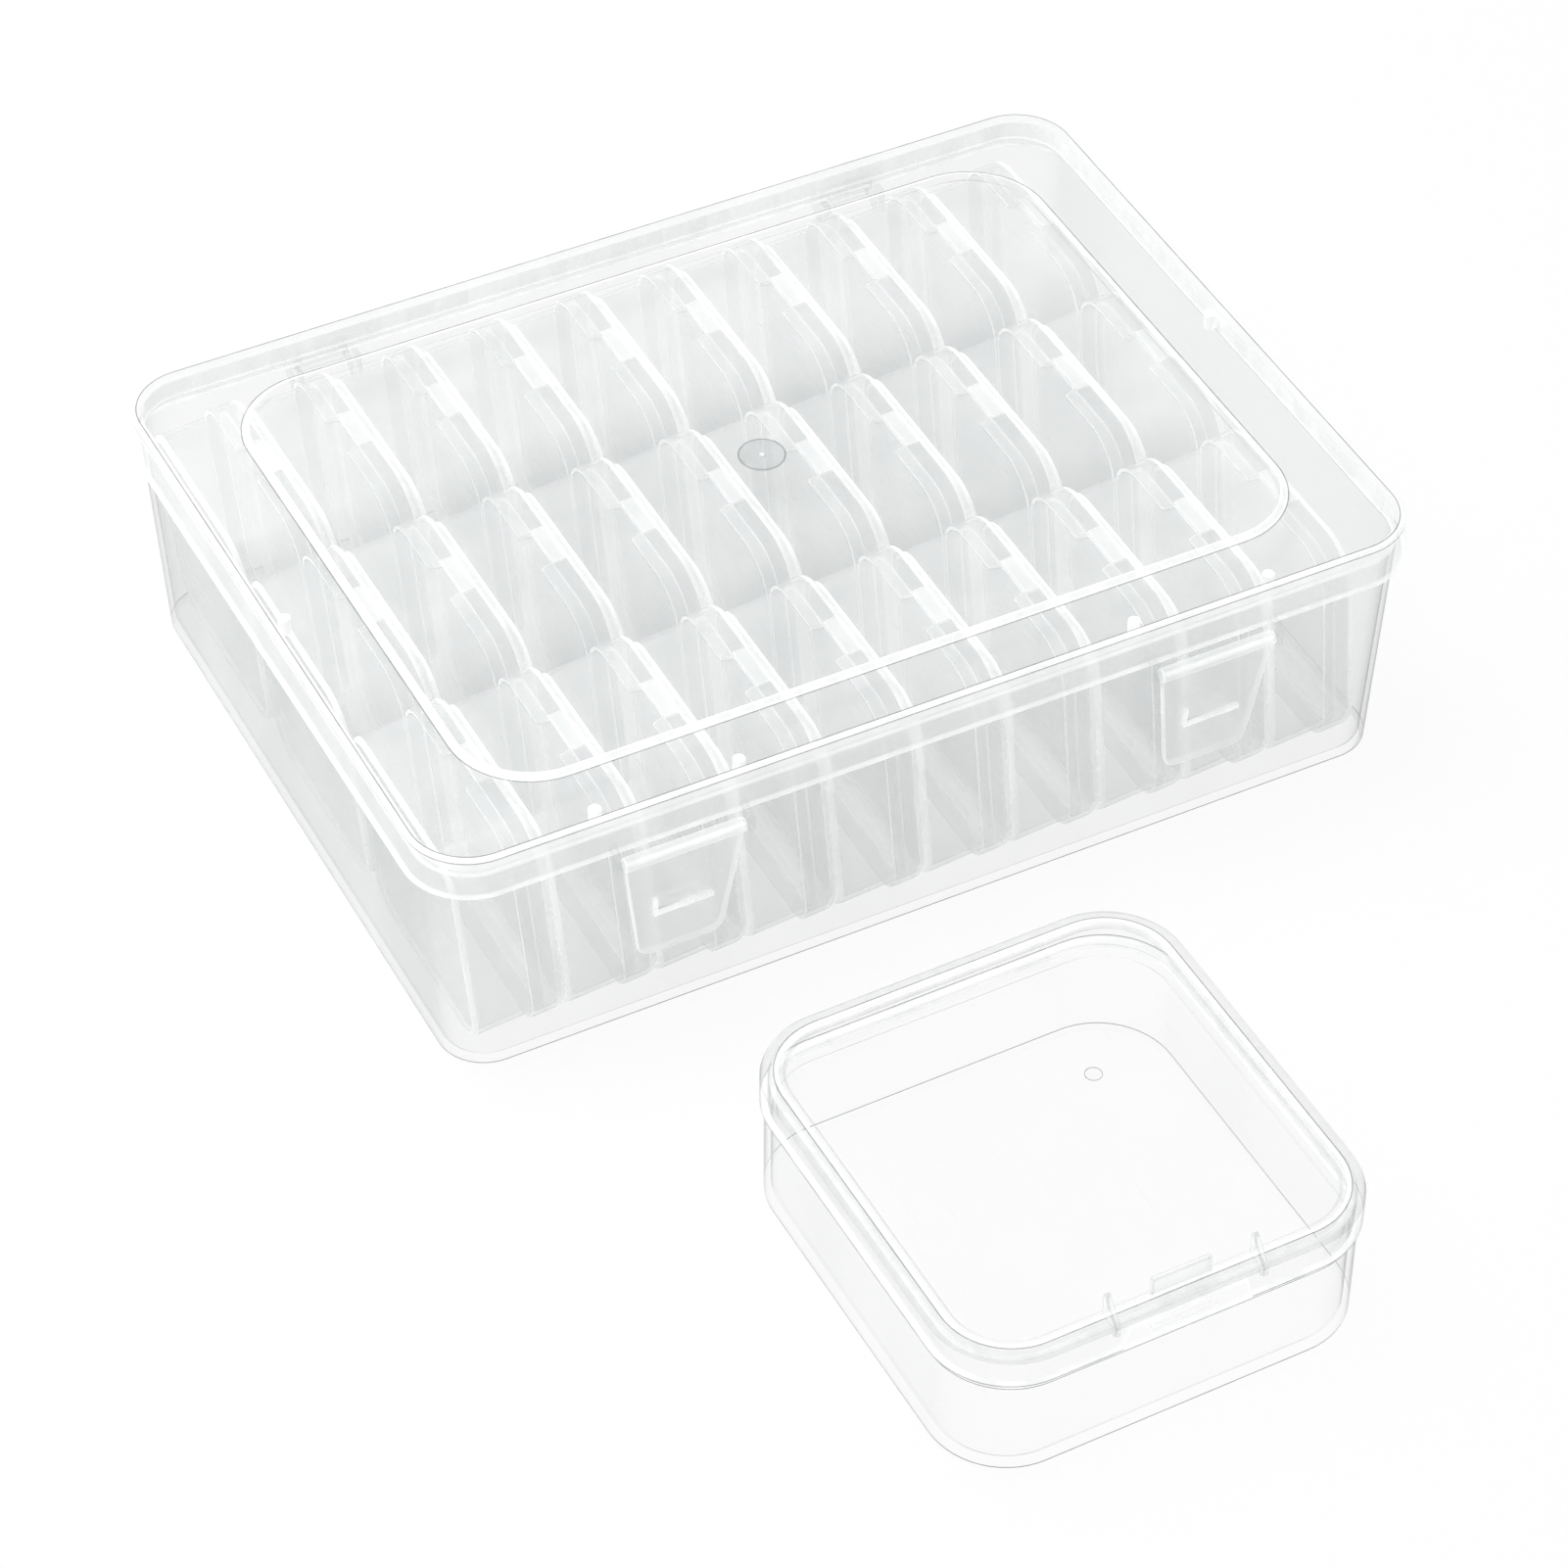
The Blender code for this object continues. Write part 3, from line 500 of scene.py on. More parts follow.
def pin(shape, radius, length, middle, axis, rim, look, edge_look=BRIGHT):
    """A cylinder about a point along X or Z, with rounded rims."""
    turn = Matrix.Rotation(pi / 2, 4, "Y") if axis == "X" else Matrix.Identity(4)
    made = bmesh.ops.create_cone(
        shape,
        cap_ends=True,
        segments=PIN_SEGMENTS,
        radius1=radius,
        radius2=radius,
        depth=length,
        matrix=Matrix.Translation(middle) @ turn,
    )["verts"]
    caps = {face for vert in made for face in vert.link_faces if len(face.verts) == PIN_SEGMENTS}
    for face in {face for vert in made for face in vert.link_faces}:
        face.material_index = look
    rims = list({edge for face in caps for edge in face.edges})
    round_edges(shape, rims, rim, edge_look)


def slab(shape, points, middle, width, radius, look, edge_look=BRIGHT):
    """A side view in Y and Z, extruded along X, with rounded edges."""
    corners = [shape.verts.new((middle - width / 2, y, z)) for y, z in points]
    face = shape.faces.new(corners)
    grown = bmesh.ops.extrude_face_region(shape, geom=[face])["geom"]
    moved = [item for item in grown if isinstance(item, bmesh.types.BMVert)]
    bmesh.ops.translate(shape, verts=moved, vec=(width, 0, 0))
    made = {item for vert in corners + moved for item in vert.link_faces}
    for side in made:
        side.material_index = look
    rims = list({edge for vert in corners + moved for edge in vert.link_edges})
    round_edges(shape, rims, radius, edge_look)


# %% [markdown]
# A finished piece is closed, points outwards, is shaded smooth with its true corners kept sharp,
# and sits where its mesh says. Smooth shading bends the light on a flat wall that ends in a small
# rounded edge, so a Weighted Normal modifier lets the large flat faces decide. The piece rides
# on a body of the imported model, replaces the plain solid there and names the plastic that the
# record gives that solid.

# %% Finishing
WELD = 0.000002
SHARP = radians(35)


def to_mesh(shape, name, kind):
    """Turns a shape into a mesh with the plastics of its kind."""
    bmesh.ops.remove_doubles(shape, verts=shape.verts, dist=WELD)
    bmesh.ops.recalc_face_normals(shape, faces=shape.faces)
    mesh = bpy.data.meshes.new(name)
    shape.to_mesh(mesh)
    shape.free()
    for material in plastic_set(kind):
        mesh.materials.append(material)
    mesh.shade_smooth()
    mesh.set_sharp_from_angle(angle=SHARP)
    return mesh


def place_piece(name, mesh, body, node=None):
    piece = bpy.data.objects.new(name, mesh)
    bpy.context.scene.collection.objects.link(piece)
    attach(piece, body)
    if node:
        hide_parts(node)
    even = piece.modifiers.new("even_shading", "WEIGHTED_NORMAL")
    even.keep_sharp = True
    return piece


# %% [markdown]
# ## The case's base
# The base is a tapered tray, because a tapered piece leaves its mould. Its foot is bevelled and its rim
# is a flat, bright line, which the camera sees through the lid. The sizes here are the imported model's
# own, and the rim's height is worked out from them.

# %% Case sizes
GAP = 0.0003
CASE_LENGTH = 0.2290
CASE_WIDTH = 0.1678
CASE_HEIGHT = 0.0623
CASE_CORNER = 0.0140
LID_WALL = 0.0012
LID_PLATE = 0.0014
SKIRT_HEIGHT = 0.0099
SKIRT_FLARE = 0.0009
FOOT_LENGTH = 0.2198
FOOT_WIDTH = 0.1618
FOOT_CORNER = 0.0105
FOOT_BEVEL = 0.0010
CASE_WALL = 0.0011
CASE_FLOOR = 0.0018
RIM_DROP = 0.0056
RIM_RADIUS = 0.0003
DARK_LINE = 0.0003
BRIGHT_LINE = 0.0011
RIM = CASE_HEIGHT - RIM_DROP
HEM = CASE_HEIGHT - SKIRT_HEIGHT


def case_wall_at(height):
    """Half the base's width at a height, to the outside of its wall."""
    top = CASE_WIDTH / 2 - LID_WALL - GAP
    return FOOT_WIDTH / 2 + (top - FOOT_WIDTH / 2) * height / RIM


# %% Case base
shape = bmesh.new()
foot = (FOOT_LENGTH, FOOT_WIDTH, FOOT_CORNER)
rim = shrink((CASE_LENGTH, CASE_WIDTH, CASE_CORNER), LID_WALL + GAP, RIM)
# The foot's bevel and the rim take the painted highlight, and the thin band above the foot is painted
# shade.
edges = loft(
    shape,
    [
        shrink(foot, FOOT_BEVEL, 0),
        (*foot, FOOT_BEVEL),
        (*foot, FOOT_BEVEL + DARK_LINE),
        rim,
        shrink(rim, CASE_WALL, RIM),
        shrink(foot, CASE_WALL, CASE_FLOOR + FOOT_BEVEL),
        shrink(foot, CASE_WALL + FOOT_BEVEL, CASE_FLOOR),
    ],
    (BRIGHT, DARK, CLEAR, BRIGHT, CLEAR, CLEAR),
)
round_edges(shape, edges[3] + edges[4], RIM_RADIUS, BRIGHT)

# %% [markdown]
# Two kinds of small part are moulded on the base. At the back, pairs of ears hold the hinge pins.
# At the front, a ramped lug stands behind each latch, a little above its hook. On a real case
# the hook snaps past the lug. Here it ends just short of it, so the latch swings freely.

# %% Base hinges and lugs
HINGE_SPACING = 0.1300
HINGE_OUT = 0.0028
HINGE_DROP = 0.0022
BARREL_LENGTH = 0.0110
BARREL_RADIUS = 0.0018
HINGE_PIN = 0.0008
EAR_WIDTH = 0.0022
EAR_ROOT = 0.0056
EAR_SEGMENTS = 10
LATCH_SPACING = 0.1230
LUG_WIDTH = 0.0110
LUG_HEIGHT = 0.0040
LUG_FACE = 0.0010
LUG_OUT = 0.0010
LUG_LEVEL = 0.0332
SMALL_RADIUS = 0.0002
hinge = Vector((0, CASE_WIDTH / 2 + HINGE_OUT, HEM - HINGE_DROP))

ear_inside = case_wall_at(hinge.z) - CASE_WALL / 2
ear_profile = [(ear_inside, hinge.z - EAR_ROOT)]
for step in range(EAR_SEGMENTS + 1):
    angle = -pi / 2 + step * pi / EAR_SEGMENTS
    ear_profile.append((hinge.y + BARREL_RADIUS * cos(angle), hinge.z + BARREL_RADIUS * sin(angle)))
ear_profile.append((ear_inside, hinge.z + BARREL_RADIUS))
lug_wall = -case_wall_at(LUG_LEVEL)
lug_profile = [
    (lug_wall + CASE_WALL / 2, LUG_LEVEL),
    (lug_wall - LUG_OUT, LUG_LEVEL),
    (lug_wall - LUG_OUT, LUG_LEVEL + LUG_FACE),
    (lug_wall + CASE_WALL / 2, LUG_LEVEL + LUG_HEIGHT),
]
for side in (-1, 1):
    middle = side * HINGE_SPACING / 2
    for end in (-1, 1):
        ear_x = middle + end * (BARREL_LENGTH / 2 + GAP + EAR_WIDTH / 2)
        slab(shape, ear_profile, ear_x, EAR_WIDTH, SMALL_RADIUS, CLEAR, CLEAR)
    pin_length = BARREL_LENGTH + 2 * GAP + EAR_WIDTH
    pin_place = Vector((middle, hinge.y, hinge.z))
    pin(shape, HINGE_PIN, pin_length, pin_place, "X", SMALL_RADIUS, CLEAR, CLEAR)
    slab(shape, lug_profile, side * LATCH_SPACING / 2, LUG_WIDTH, SMALL_RADIUS, CLEAR)
base_shell = to_mesh(shape, "case_base_shell", "case")
place_piece("case_base_shell", base_shell, "case", "case_base")

# %% [markdown]
# ## The case's lid
# The lid's plate has a raised panel with wide round corners. From above, the panel's slope is the
# brightest line on the case, a painted highlight, with a thin line of painted shade along its outer
# foot. The skirt flares a little, and its hem and its top edge are two more painted highlights; the top
# edge has a thin painted dark line on each side. The skirt's outer face takes the frosted plastic with
# its glow, which paints it lighter. The round mark in the middle is where the plastic entered the mould.

# %% Lid shell
LID_BEVEL = 0.0006
PANEL_LENGTH = 0.1918
PANEL_WIDTH = 0.1380
PANEL_CORNER = 0.0180
PANEL_SLOPE = 0.0010
PANEL_RISE = 0.0010
SEAT_WIDTH = 0.0010
UNDER = CASE_HEIGHT - LID_PLATE

shape = bmesh.new()
crown = (CASE_LENGTH, CASE_WIDTH, CASE_CORNER)
seat = LID_WALL + GAP + SEAT_WIDTH
hem_ring = shrink(crown, -SKIRT_FLARE, HEM)
panel = (PANEL_LENGTH, PANEL_WIDTH, PANEL_CORNER)
edges = loft(
    shape,
    [
        shrink(panel, 2 * PANEL_SLOPE, UNDER + PANEL_RISE),
        shrink(panel, PANEL_SLOPE, UNDER),
        shrink(crown, seat, UNDER),
        shrink(crown, seat, RIM + GAP),
        shrink(crown, LID_WALL, RIM + GAP),
        shrink(hem_ring, LID_WALL, HEM),
        hem_ring,
        (*crown, CASE_HEIGHT - LID_BEVEL - DARK_LINE),
        (*crown, CASE_HEIGHT - LID_BEVEL),
        shrink(crown, LID_BEVEL, CASE_HEIGHT),
        shrink(crown, BRIGHT_LINE, CASE_HEIGHT),
        shrink(crown, BRIGHT_LINE + DARK_LINE, CASE_HEIGHT),
        shrink(panel, -DARK_LINE - RIM_RADIUS, CASE_HEIGHT),
        (*panel, CASE_HEIGHT),
        shrink(panel, PANEL_SLOPE, CASE_HEIGHT + PANEL_RISE),
    ],
    (CLEAR, CLEAR, BRIGHT, CLEAR, CLEAR, BRIGHT, FROSTED_GLOW, DARK, BRIGHT, BRIGHT, DARK, CLEAR, DARK, BRIGHT),
)
round_edges(shape, edges[5] + edges[6], RIM_RADIUS, BRIGHT)
round_edges(shape, edges[13] + edges[14], RIM_RADIUS, BRIGHT)
print("lid faces", len(shape.faces))

# %% [markdown]
# The mark is a thin grey disc set level with the panel's face. Its upper face is inset once, which gives
# it a fine ring of painted shade, and a small dot of painted highlight sits in its middle. Six pegs
# stand under the plate, one at each end and two behind each latch, and they too take the painted
# highlight.

# %% Gate mark and pegs
DISC_RADIUS = 0.0052
DISC_DEPTH = 0.0003
DOT_RADIUS = 0.0007
PEG_RADIUS = 0.0014
PEG_LENGTH = 0.0032
PEG_INSET = 0.0044
PEG_SPREAD = 0.0160
TOP = CASE_HEIGHT + PANEL_RISE

disc_middle = Vector((0, 0, TOP - DISC_DEPTH / 2))
pin(shape, DISC_RADIUS, DISC_DEPTH, disc_middle, "Z", DISC_DEPTH / 6, GREY, GREY)


def cap_height(face):
    """The height of a round cap, and zero for any other face."""
    return (len(face.verts) == PIN_SEGMENTS) * face.calc_center_median().z


disc_top = max(shape.faces, key=cap_height)
for face in bmesh.ops.inset_region(shape, faces=[disc_top], thickness=DARK_LINE)["faces"]:
    face.material_index = DARK
pin(shape, DOT_RADIUS, DISC_DEPTH, disc_middle, "Z", DISC_DEPTH / 4, BRIGHT, DARK)

peg_y = CASE_WIDTH / 2 - PEG_INSET
peg_x = CASE_LENGTH / 2 - PEG_INSET
pegs = [(-peg_x, 0), (peg_x, 0)]
for side in (-1, 1):
    for end in (-1, 1):
        pegs.append((side * LATCH_SPACING / 2 + end * PEG_SPREAD, -peg_y))
peg_length = PEG_LENGTH + LID_PLATE / 2
peg_z = UNDER - PEG_LENGTH / 2 + LID_PLATE / 4
for x, y in pegs:
    pin(shape, PEG_RADIUS, peg_length, Vector((x, y, peg_z)), "Z", SMALL_RADIUS, BRIGHT)
print("pegs", len(pegs))

# %% [markdown]
# Two more kinds of small part complete the lid. Behind, a web carries a barrel between each pair of
# the base's ears. In front, two ears with a short pin each hold a latch. The webs and ears are side
# views in Y and Z, extruded along X. The barrels are drawn without bores, so the pins run into
# them.

# %% Lid hinges and latch ears
WEB_RISE = 0.0044
WEB_REACH_SHARE = 0.8
LATCH_TOP = 0.0270
LATCH_OUT = 0.0022
LATCH_DROP = 0.0014
LATCH_BARREL = 0.0016
LATCH_PIN = 0.0007
LATCH_PIN_LENGTH = 0.0030
LATCH_EAR = 0.0014
LATCH_EAR_RISE = 0.0032

web_profile = [
    (CASE_WIDTH / 2 - LID_WALL / 2, HEM + GAP),
    (hinge.y - BARREL_RADIUS / 2, hinge.z + HINGE_PIN),
    (hinge.y + BARREL_RADIUS * WEB_REACH_SHARE, hinge.z + HINGE_PIN),
    (CASE_WIDTH / 2 - LID_WALL / 2, HEM + WEB_RISE),
]
latch_y = -(CASE_WIDTH / 2 + SKIRT_FLARE + LATCH_OUT)
latch_z = HEM - LATCH_DROP
skirt_y = -(CASE_WIDTH / 2 - LID_WALL / 2)
latch_ear_profile = [
    (skirt_y, HEM + LATCH_EAR_RISE),
    (latch_y - LATCH_BARREL, HEM + LATCH_BARREL / 2),
    (latch_y - LATCH_BARREL, latch_z - LATCH_BARREL),
    (latch_y + LATCH_BARREL, latch_z - LATCH_BARREL),
    (latch_y + LATCH_BARREL, HEM + LATCH_BARREL / 2),
    (skirt_y, HEM + LATCH_BARREL / 2),
]
for side in (-1, 1):
    middle = side * HINGE_SPACING / 2
    slab(shape, web_profile, middle, BARREL_LENGTH, SMALL_RADIUS, CLEAR, CLEAR)
    barrel_place = Vector((middle, hinge.y, hinge.z))
    pin(shape, BARREL_RADIUS, BARREL_LENGTH, barrel_place, "X", SMALL_RADIUS, CLEAR, CLEAR)
    latch_x = side * LATCH_SPACING / 2
    for end in (-1, 1):
        ear_x = latch_x + end * (LATCH_TOP / 2 + GAP + LATCH_EAR / 2)
        slab(shape, latch_ear_profile, ear_x, LATCH_EAR, SMALL_RADIUS, CLEAR, CLEAR)
        length = LATCH_PIN_LENGTH + LATCH_EAR / 2
        pin_middle = Vector((ear_x - end * length / 2, latch_y, latch_z))
        pin(shape, LATCH_PIN, length, pin_middle, "X", SMALL_RADIUS, CLEAR, CLEAR)
lid_shell = to_mesh(shape, "case_lid_shell", "case")
place_piece("case_lid_shell", lid_shell, "case_lid", "case_lid")
print("lid shell placed")

# %% [markdown]
# ## The latches
# A latch is a tapered plate that hangs on two short pins. Its upper edge is a round bar, its lower
# corners are rounded, and a raised L-shaped rib gives the thumb a hold. A grid of four corners
# is narrowed at its lower edge, extruded to its thickness and rounded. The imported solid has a
# shallow pocket with one straight lip under it. Here the pocket is left out, the lip becomes the
# L, and RIB_RISE lifts it to where the photograph shows it. The POCKET sizes place it.

# %% Latches
LATCH_BOTTOM = 0.0190
LATCH_LENGTH = 0.0300
LATCH_THICKNESS = 0.0014
LATCH_CORNER = 0.0030
POCKET_WIDTH = 0.0136
POCKET_HEIGHT = 0.0075
POCKET_START = 0.0112
LIP_HEIGHT = 0.0011
LIP_OUT = 0.0006
RIB_RISE = 0.0020
HOOK_START = 0.0186
HOOK_HEIGHT = 0.0016
HOOK_OUT = 0.0015
LATCH_WALL_SPACE = 0.0021
LATCH_EDGE = 0.0004
LATCH_CORNER_SEGMENTS = 8
FLAT_SHARE = 0.9


def is_flat(face):
    """Tells the plate's two broad faces from its edges."""
    return abs(face.normal.y) > FLAT_SHARE


def latch_plate(shape):
    """The flat plate, upright, with its upper edge at height zero and its outer face towards -Y."""
    upright = Matrix.Rotation(pi / 2, 4, "X")
    size = Matrix.Diagonal((LATCH_TOP, LATCH_LENGTH, 1, 1))
    lower = Matrix.Translation((0, LATCH_THICKNESS / 2, -LATCH_LENGTH / 2))
    place = lower @ upright @ size
    made = bmesh.ops.create_grid(shape, x_segments=1, y_segments=1, size=0.5, matrix=place)["verts"]
    foot = [vert for vert in made if vert.co.z < -LATCH_LENGTH / 2]
    bmesh.ops.scale(shape, verts=foot, vec=(LATCH_BOTTOM / LATCH_TOP, 1, 1))
    bmesh.ops.bevel(
        shape,
        geom=foot,
        offset=LATCH_CORNER,
        offset_type="OFFSET",
        segments=LATCH_CORNER_SEGMENTS,
        profile=0.5,
        affect="VERTICES",
        material=-1,
    )
    face = shape.faces[:][0]
    grown = bmesh.ops.extrude_face_region(shape, geom=[face])["geom"]
    moved = [item for item in grown if isinstance(item, bmesh.types.BMVert)]
    bmesh.ops.translate(shape, verts=moved, vec=(0, -LATCH_THICKNESS, 0))
    rims = [edge for edge in shape.edges if len({is_flat(face) for face in edge.link_faces}) > 1]
    round_edges(shape, rims, LATCH_EDGE, BRIGHT)


def latch_mesh(name, side):
    shape = bmesh.new()
    latch_plate(shape)
    # The plate's edges and the rib take the painted highlight, and the barrel takes the frosted plastic
    # with its painted glow.
    for face in shape.faces:
        if not is_flat(face):
            face.material_index = BRIGHT
    half = LATCH_THICKNESS / 2
    pin(shape, LATCH_BARREL, LATCH_TOP, Vector((0, 0, 0)), "X", LATCH_EDGE, FROSTED_GLOW)
    rib_foot = -POCKET_START - POCKET_HEIGHT + RIB_RISE
    bar(
        shape,
        (-POCKET_WIDTH / 2, -half - LIP_OUT, rib_foot - LIP_HEIGHT),
        (POCKET_WIDTH / 2, 0, rib_foot),
        SMALL_RADIUS,
        BRIGHT,
    )
    bar(
        shape,
        (-POCKET_WIDTH / 2, -half - LIP_OUT / 2, rib_foot),
        (-POCKET_WIDTH / 2 + LIP_HEIGHT, 0, rib_foot + POCKET_HEIGHT / 2),
        SMALL_RADIUS,
        BRIGHT,
    )
    bar(
        shape,
        (-LUG_WIDTH / 2, 0, -HOOK_START - HOOK_HEIGHT),
        (LUG_WIDTH / 2, half + HOOK_OUT, -HOOK_START),
        SMALL_RADIUS,
        CLEAR,
    )
    foot_y = -case_wall_at(latch_z - LATCH_LENGTH) - LATCH_WALL_SPACE - half
    lean = Matrix.Rotation(atan2(foot_y - latch_y, LATCH_LENGTH), 4, "X")
    place = Matrix.Translation((side * LATCH_SPACING / 2, latch_y, latch_z))
    bmesh.ops.transform(shape, matrix=place @ lean, verts=shape.verts)
    return to_mesh(shape, name, "latch")


for name, side in (("latch_left", -1), ("latch_right", 1)):
    place_piece(f"{name}_plate", latch_mesh(f"{name}_plate", side), name, name)
    print(name, "placed")

# %% [markdown]
# ## The small boxes
# All thirty are alike, so one base and one lid are made and copied. A box lies flat while it is
# made: depth along Y, thickness along Z, its thumb notch towards -Y. The base reaches only a few
# millimetres into its lid, which is why two bright lines run side by side along each box: the
# lid's hem and, seen through it, the base's rim.

# %% Small box sizes
CELL_DEPTH = 0.0523
CELL_SIDE = 0.0552
CELL_THICKNESS = 0.02045
CELL_SKIRT = 0.0076
CELL_CORNER = 0.0098
CELL_WALL = 0.0009
CELL_LID_WALL = 0.0008
CELL_PLATE = 0.0010
CELL_BASE_ROUND = 0.0011
CELL_LAP = 0.0032
CELL_NOTCH = 0.0124
CELL_NOTCH_DEPTH = 0.0027
CELL_LID_ROUND = 0.0019
CELL_LINE = 0.00035
CELL_BASE_SEGMENTS = 3
CELL_LID_SEGMENTS = 5
CELL_HEM = CELL_THICKNESS - CELL_SKIRT


# %% Small base
def cell_base_shape():
    shape = bmesh.new()
    inset = CELL_LID_WALL + GAP
    wall = shrink((CELL_DEPTH, CELL_SIDE, CELL_CORNER), inset, 0)
    rim_height = CELL_HEM + CELL_LAP
    # The rim and the rounded foot take the painted highlight.
    edges = loft(
        shape,
        [
            wall,
            shrink(wall, 0, rim_height),
            shrink(wall, CELL_WALL, rim_height),
            shrink(wall, CELL_WALL, 2 * CELL_WALL),
            shrink(wall, 2 * CELL_WALL, CELL_WALL),
        ],
        (CLEAR, BRIGHT, CLEAR, CLEAR),
    )
    round_edges(shape, edges[0], CELL_BASE_ROUND, BRIGHT, CELL_BASE_SEGMENTS)
    round_edges(shape, edges[1] + edges[2], CELL_LINE / 2, BRIGHT)
    return shape


# %% [markdown]
# The lid's outer edge is rounded far more than the base's, and its rounding takes the painted highlight,
# a broad bright strip. Its hem is cut away for the thumb notch, and above the notch lies a frosted
# catch. The notch is cut with a Boolean, whose cutter is a tapered bar. The cut faces take the cutter's
# painted highlight, so the notch is outlined as the real one is.

# %% Small lid
CATCH_OUT = 0.0003
CATCH_MARGIN = 0.0006


def cell_lid_shape():
    shape = bmesh.new()
    outside = (CELL_DEPTH, CELL_SIDE, CELL_CORNER)
    under = CELL_THICKNESS - CELL_PLATE
    edges = loft(
        shape,
        [
            shrink(outside, CELL_LID_WALL + CELL_LID_ROUND / 2, under),
            shrink(outside, CELL_LID_WALL, under - CELL_LID_ROUND / 2),
            shrink(outside, CELL_LID_WALL, CELL_HEM),
            (*outside, CELL_HEM),
            (*outside, CELL_THICKNESS),
        ],
        (CLEAR, CLEAR, BRIGHT, CLEAR),
    )
    round_edges(shape, edges[4], CELL_LID_ROUND, BRIGHT, CELL_LID_SEGMENTS)
    return shape


def cut_mesh(mesh, cutter_mesh, name):
    """The mesh with the cutter taken out of it."""
    whole = bpy.data.objects.new(f"{name}_whole", mesh)
    cutter = bpy.data.objects.new(f"{name}_cutter", cutter_mesh)
    for helper in (whole, cutter):
        bpy.context.scene.collection.objects.link(helper)
    modifier = whole.modifiers.new("notch", "BOOLEAN")
    modifier.operation = "DIFFERENCE"
    modifier.solver = "EXACT"
    modifier.material_mode = "TRANSFER"
    modifier.object = cutter
    graph = bpy.context.evaluated_depsgraph_get()
    result = bpy.data.meshes.new_from_object(whole.evaluated_get(graph))
    result.name = name
    bpy.data.objects.remove(whole, do_unlink=True)
    bpy.data.objects.remove(cutter, do_unlink=True)
    return result


def notch_cutter(name, width, depth, front, wall, hem, kind):
    """A bar across the skirt, a little narrower at its upper end."""
    shape = bmesh.new()
    low = Vector((-width / 2, front - wall, hem - depth))
    high = Vector((width / 2, front + 2 * wall, hem + depth))
    place = Matrix.Translation((low + high) / 2) @ Matrix.Diagonal((*(high - low), 1))
    made = bmesh.ops.create_cube(shape, size=1, matrix=place)["verts"]
    upper = [vert for vert in made if vert.co.z > hem]
    bmesh.ops.scale(shape, verts=upper, vec=(1 - depth / width, 1, 1))
    for face in shape.faces:
        face.material_index = BRIGHT
    return to_mesh(shape, name, kind)


def cell_lid_mesh():
    front = -CELL_SIDE / 2
    notch = (CELL_NOTCH, CELL_NOTCH_DEPTH, front, CELL_LID_WALL, CELL_HEM)
    cutter = notch_cutter("cell_notch", *notch, "cell")
    plain = to_mesh(cell_lid_shape(), "cell_lid", "cell")
    notched = cut_mesh(plain, cutter, "cell_lid")
    shape = bmesh.new()
    shape.from_mesh(notched)
    bar(
        shape,
        (-CELL_NOTCH / 2 + CATCH_MARGIN, front - CATCH_OUT, CELL_HEM + CELL_NOTCH_DEPTH),
        (CELL_NOTCH / 2 - CATCH_MARGIN, front + CELL_LID_WALL / 2, CELL_THICKNESS - CELL_LID_ROUND),
        CATCH_OUT / 2,
        FROSTED_GLOW,
    )
    return to_mesh(shape, "cell_lid", "cell")


# %% [markdown]
# In the case the boxes stand on their sides. The lid's skirt stands proud of the base, so each box
# leans by a few degrees, with the lower edges of both just clear of the floor. The first is placed by
# its node's box in the frame, and the rest follow at the pitch of their neighbours' nodes.

# %% Place the small boxes
COLUMNS = 10
ROWS = 3
inset = CELL_LID_WALL + GAP
lean = atan2(inset, CELL_THICKNESS - CELL_SKIRT)
stand = Matrix(((0, 0, 1, 0), (-1, 0, 0, 0), (0, -1, 0, 0), (0, 0, 0, 1)))
upright = Matrix.Rotation(-lean, 4, "Y") @ Matrix.Translation((0, 0, CELL_SIDE / 2 - inset)) @ stand


def node_corner(name):
    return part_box(name)[0]


first = node_corner("cell_r1_c01_base")
column_step = node_corner("cell_r1_c02_base") - first
row_step = node_corner("cell_r2_c01_base") - first
base_mesh = to_mesh(cell_base_shape(), "cell_base", "cell")
lid_mesh = cell_lid_mesh()
base_mesh.transform(upright)
lid_mesh.transform(upright)
pattern_low = Vector([min(vert.co[axis] for vert in base_mesh.vertices) for axis in range(3)])
print("column step", round(column_step.x, 4), "row step", round(row_step.y, 4))
print("small lid faces", len(lid_mesh.polygons))

for row in range(ROWS):
    for column in range(COLUMNS):
        shift = first - pattern_low + column * column_step + row * row_step
        name = f"cell_r{row + 1}_c{column + 1:02d}"
        one_piece = f"{name}_box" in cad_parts
        for part, pattern in (("base", base_mesh), ("lid", lid_mesh)):
            copy = pattern.copy()
            copy.name = f"{name}_{part}_shell"
            copy.transform(Matrix.Translation(shift))
            node = f"{name}_box" if one_piece else f"{name}_{part}"
            place_piece(copy.name, copy, "case", node)

# %% [markdown]
# ## The larger box
# It is built as the small ones are, but it lies flat, so its lid's panel shows. The panel is sunk
# inside a rounded border. Two small leaf-shaped fins stand beside the thumb notch, and the
# base's floor has a round ejector mark.

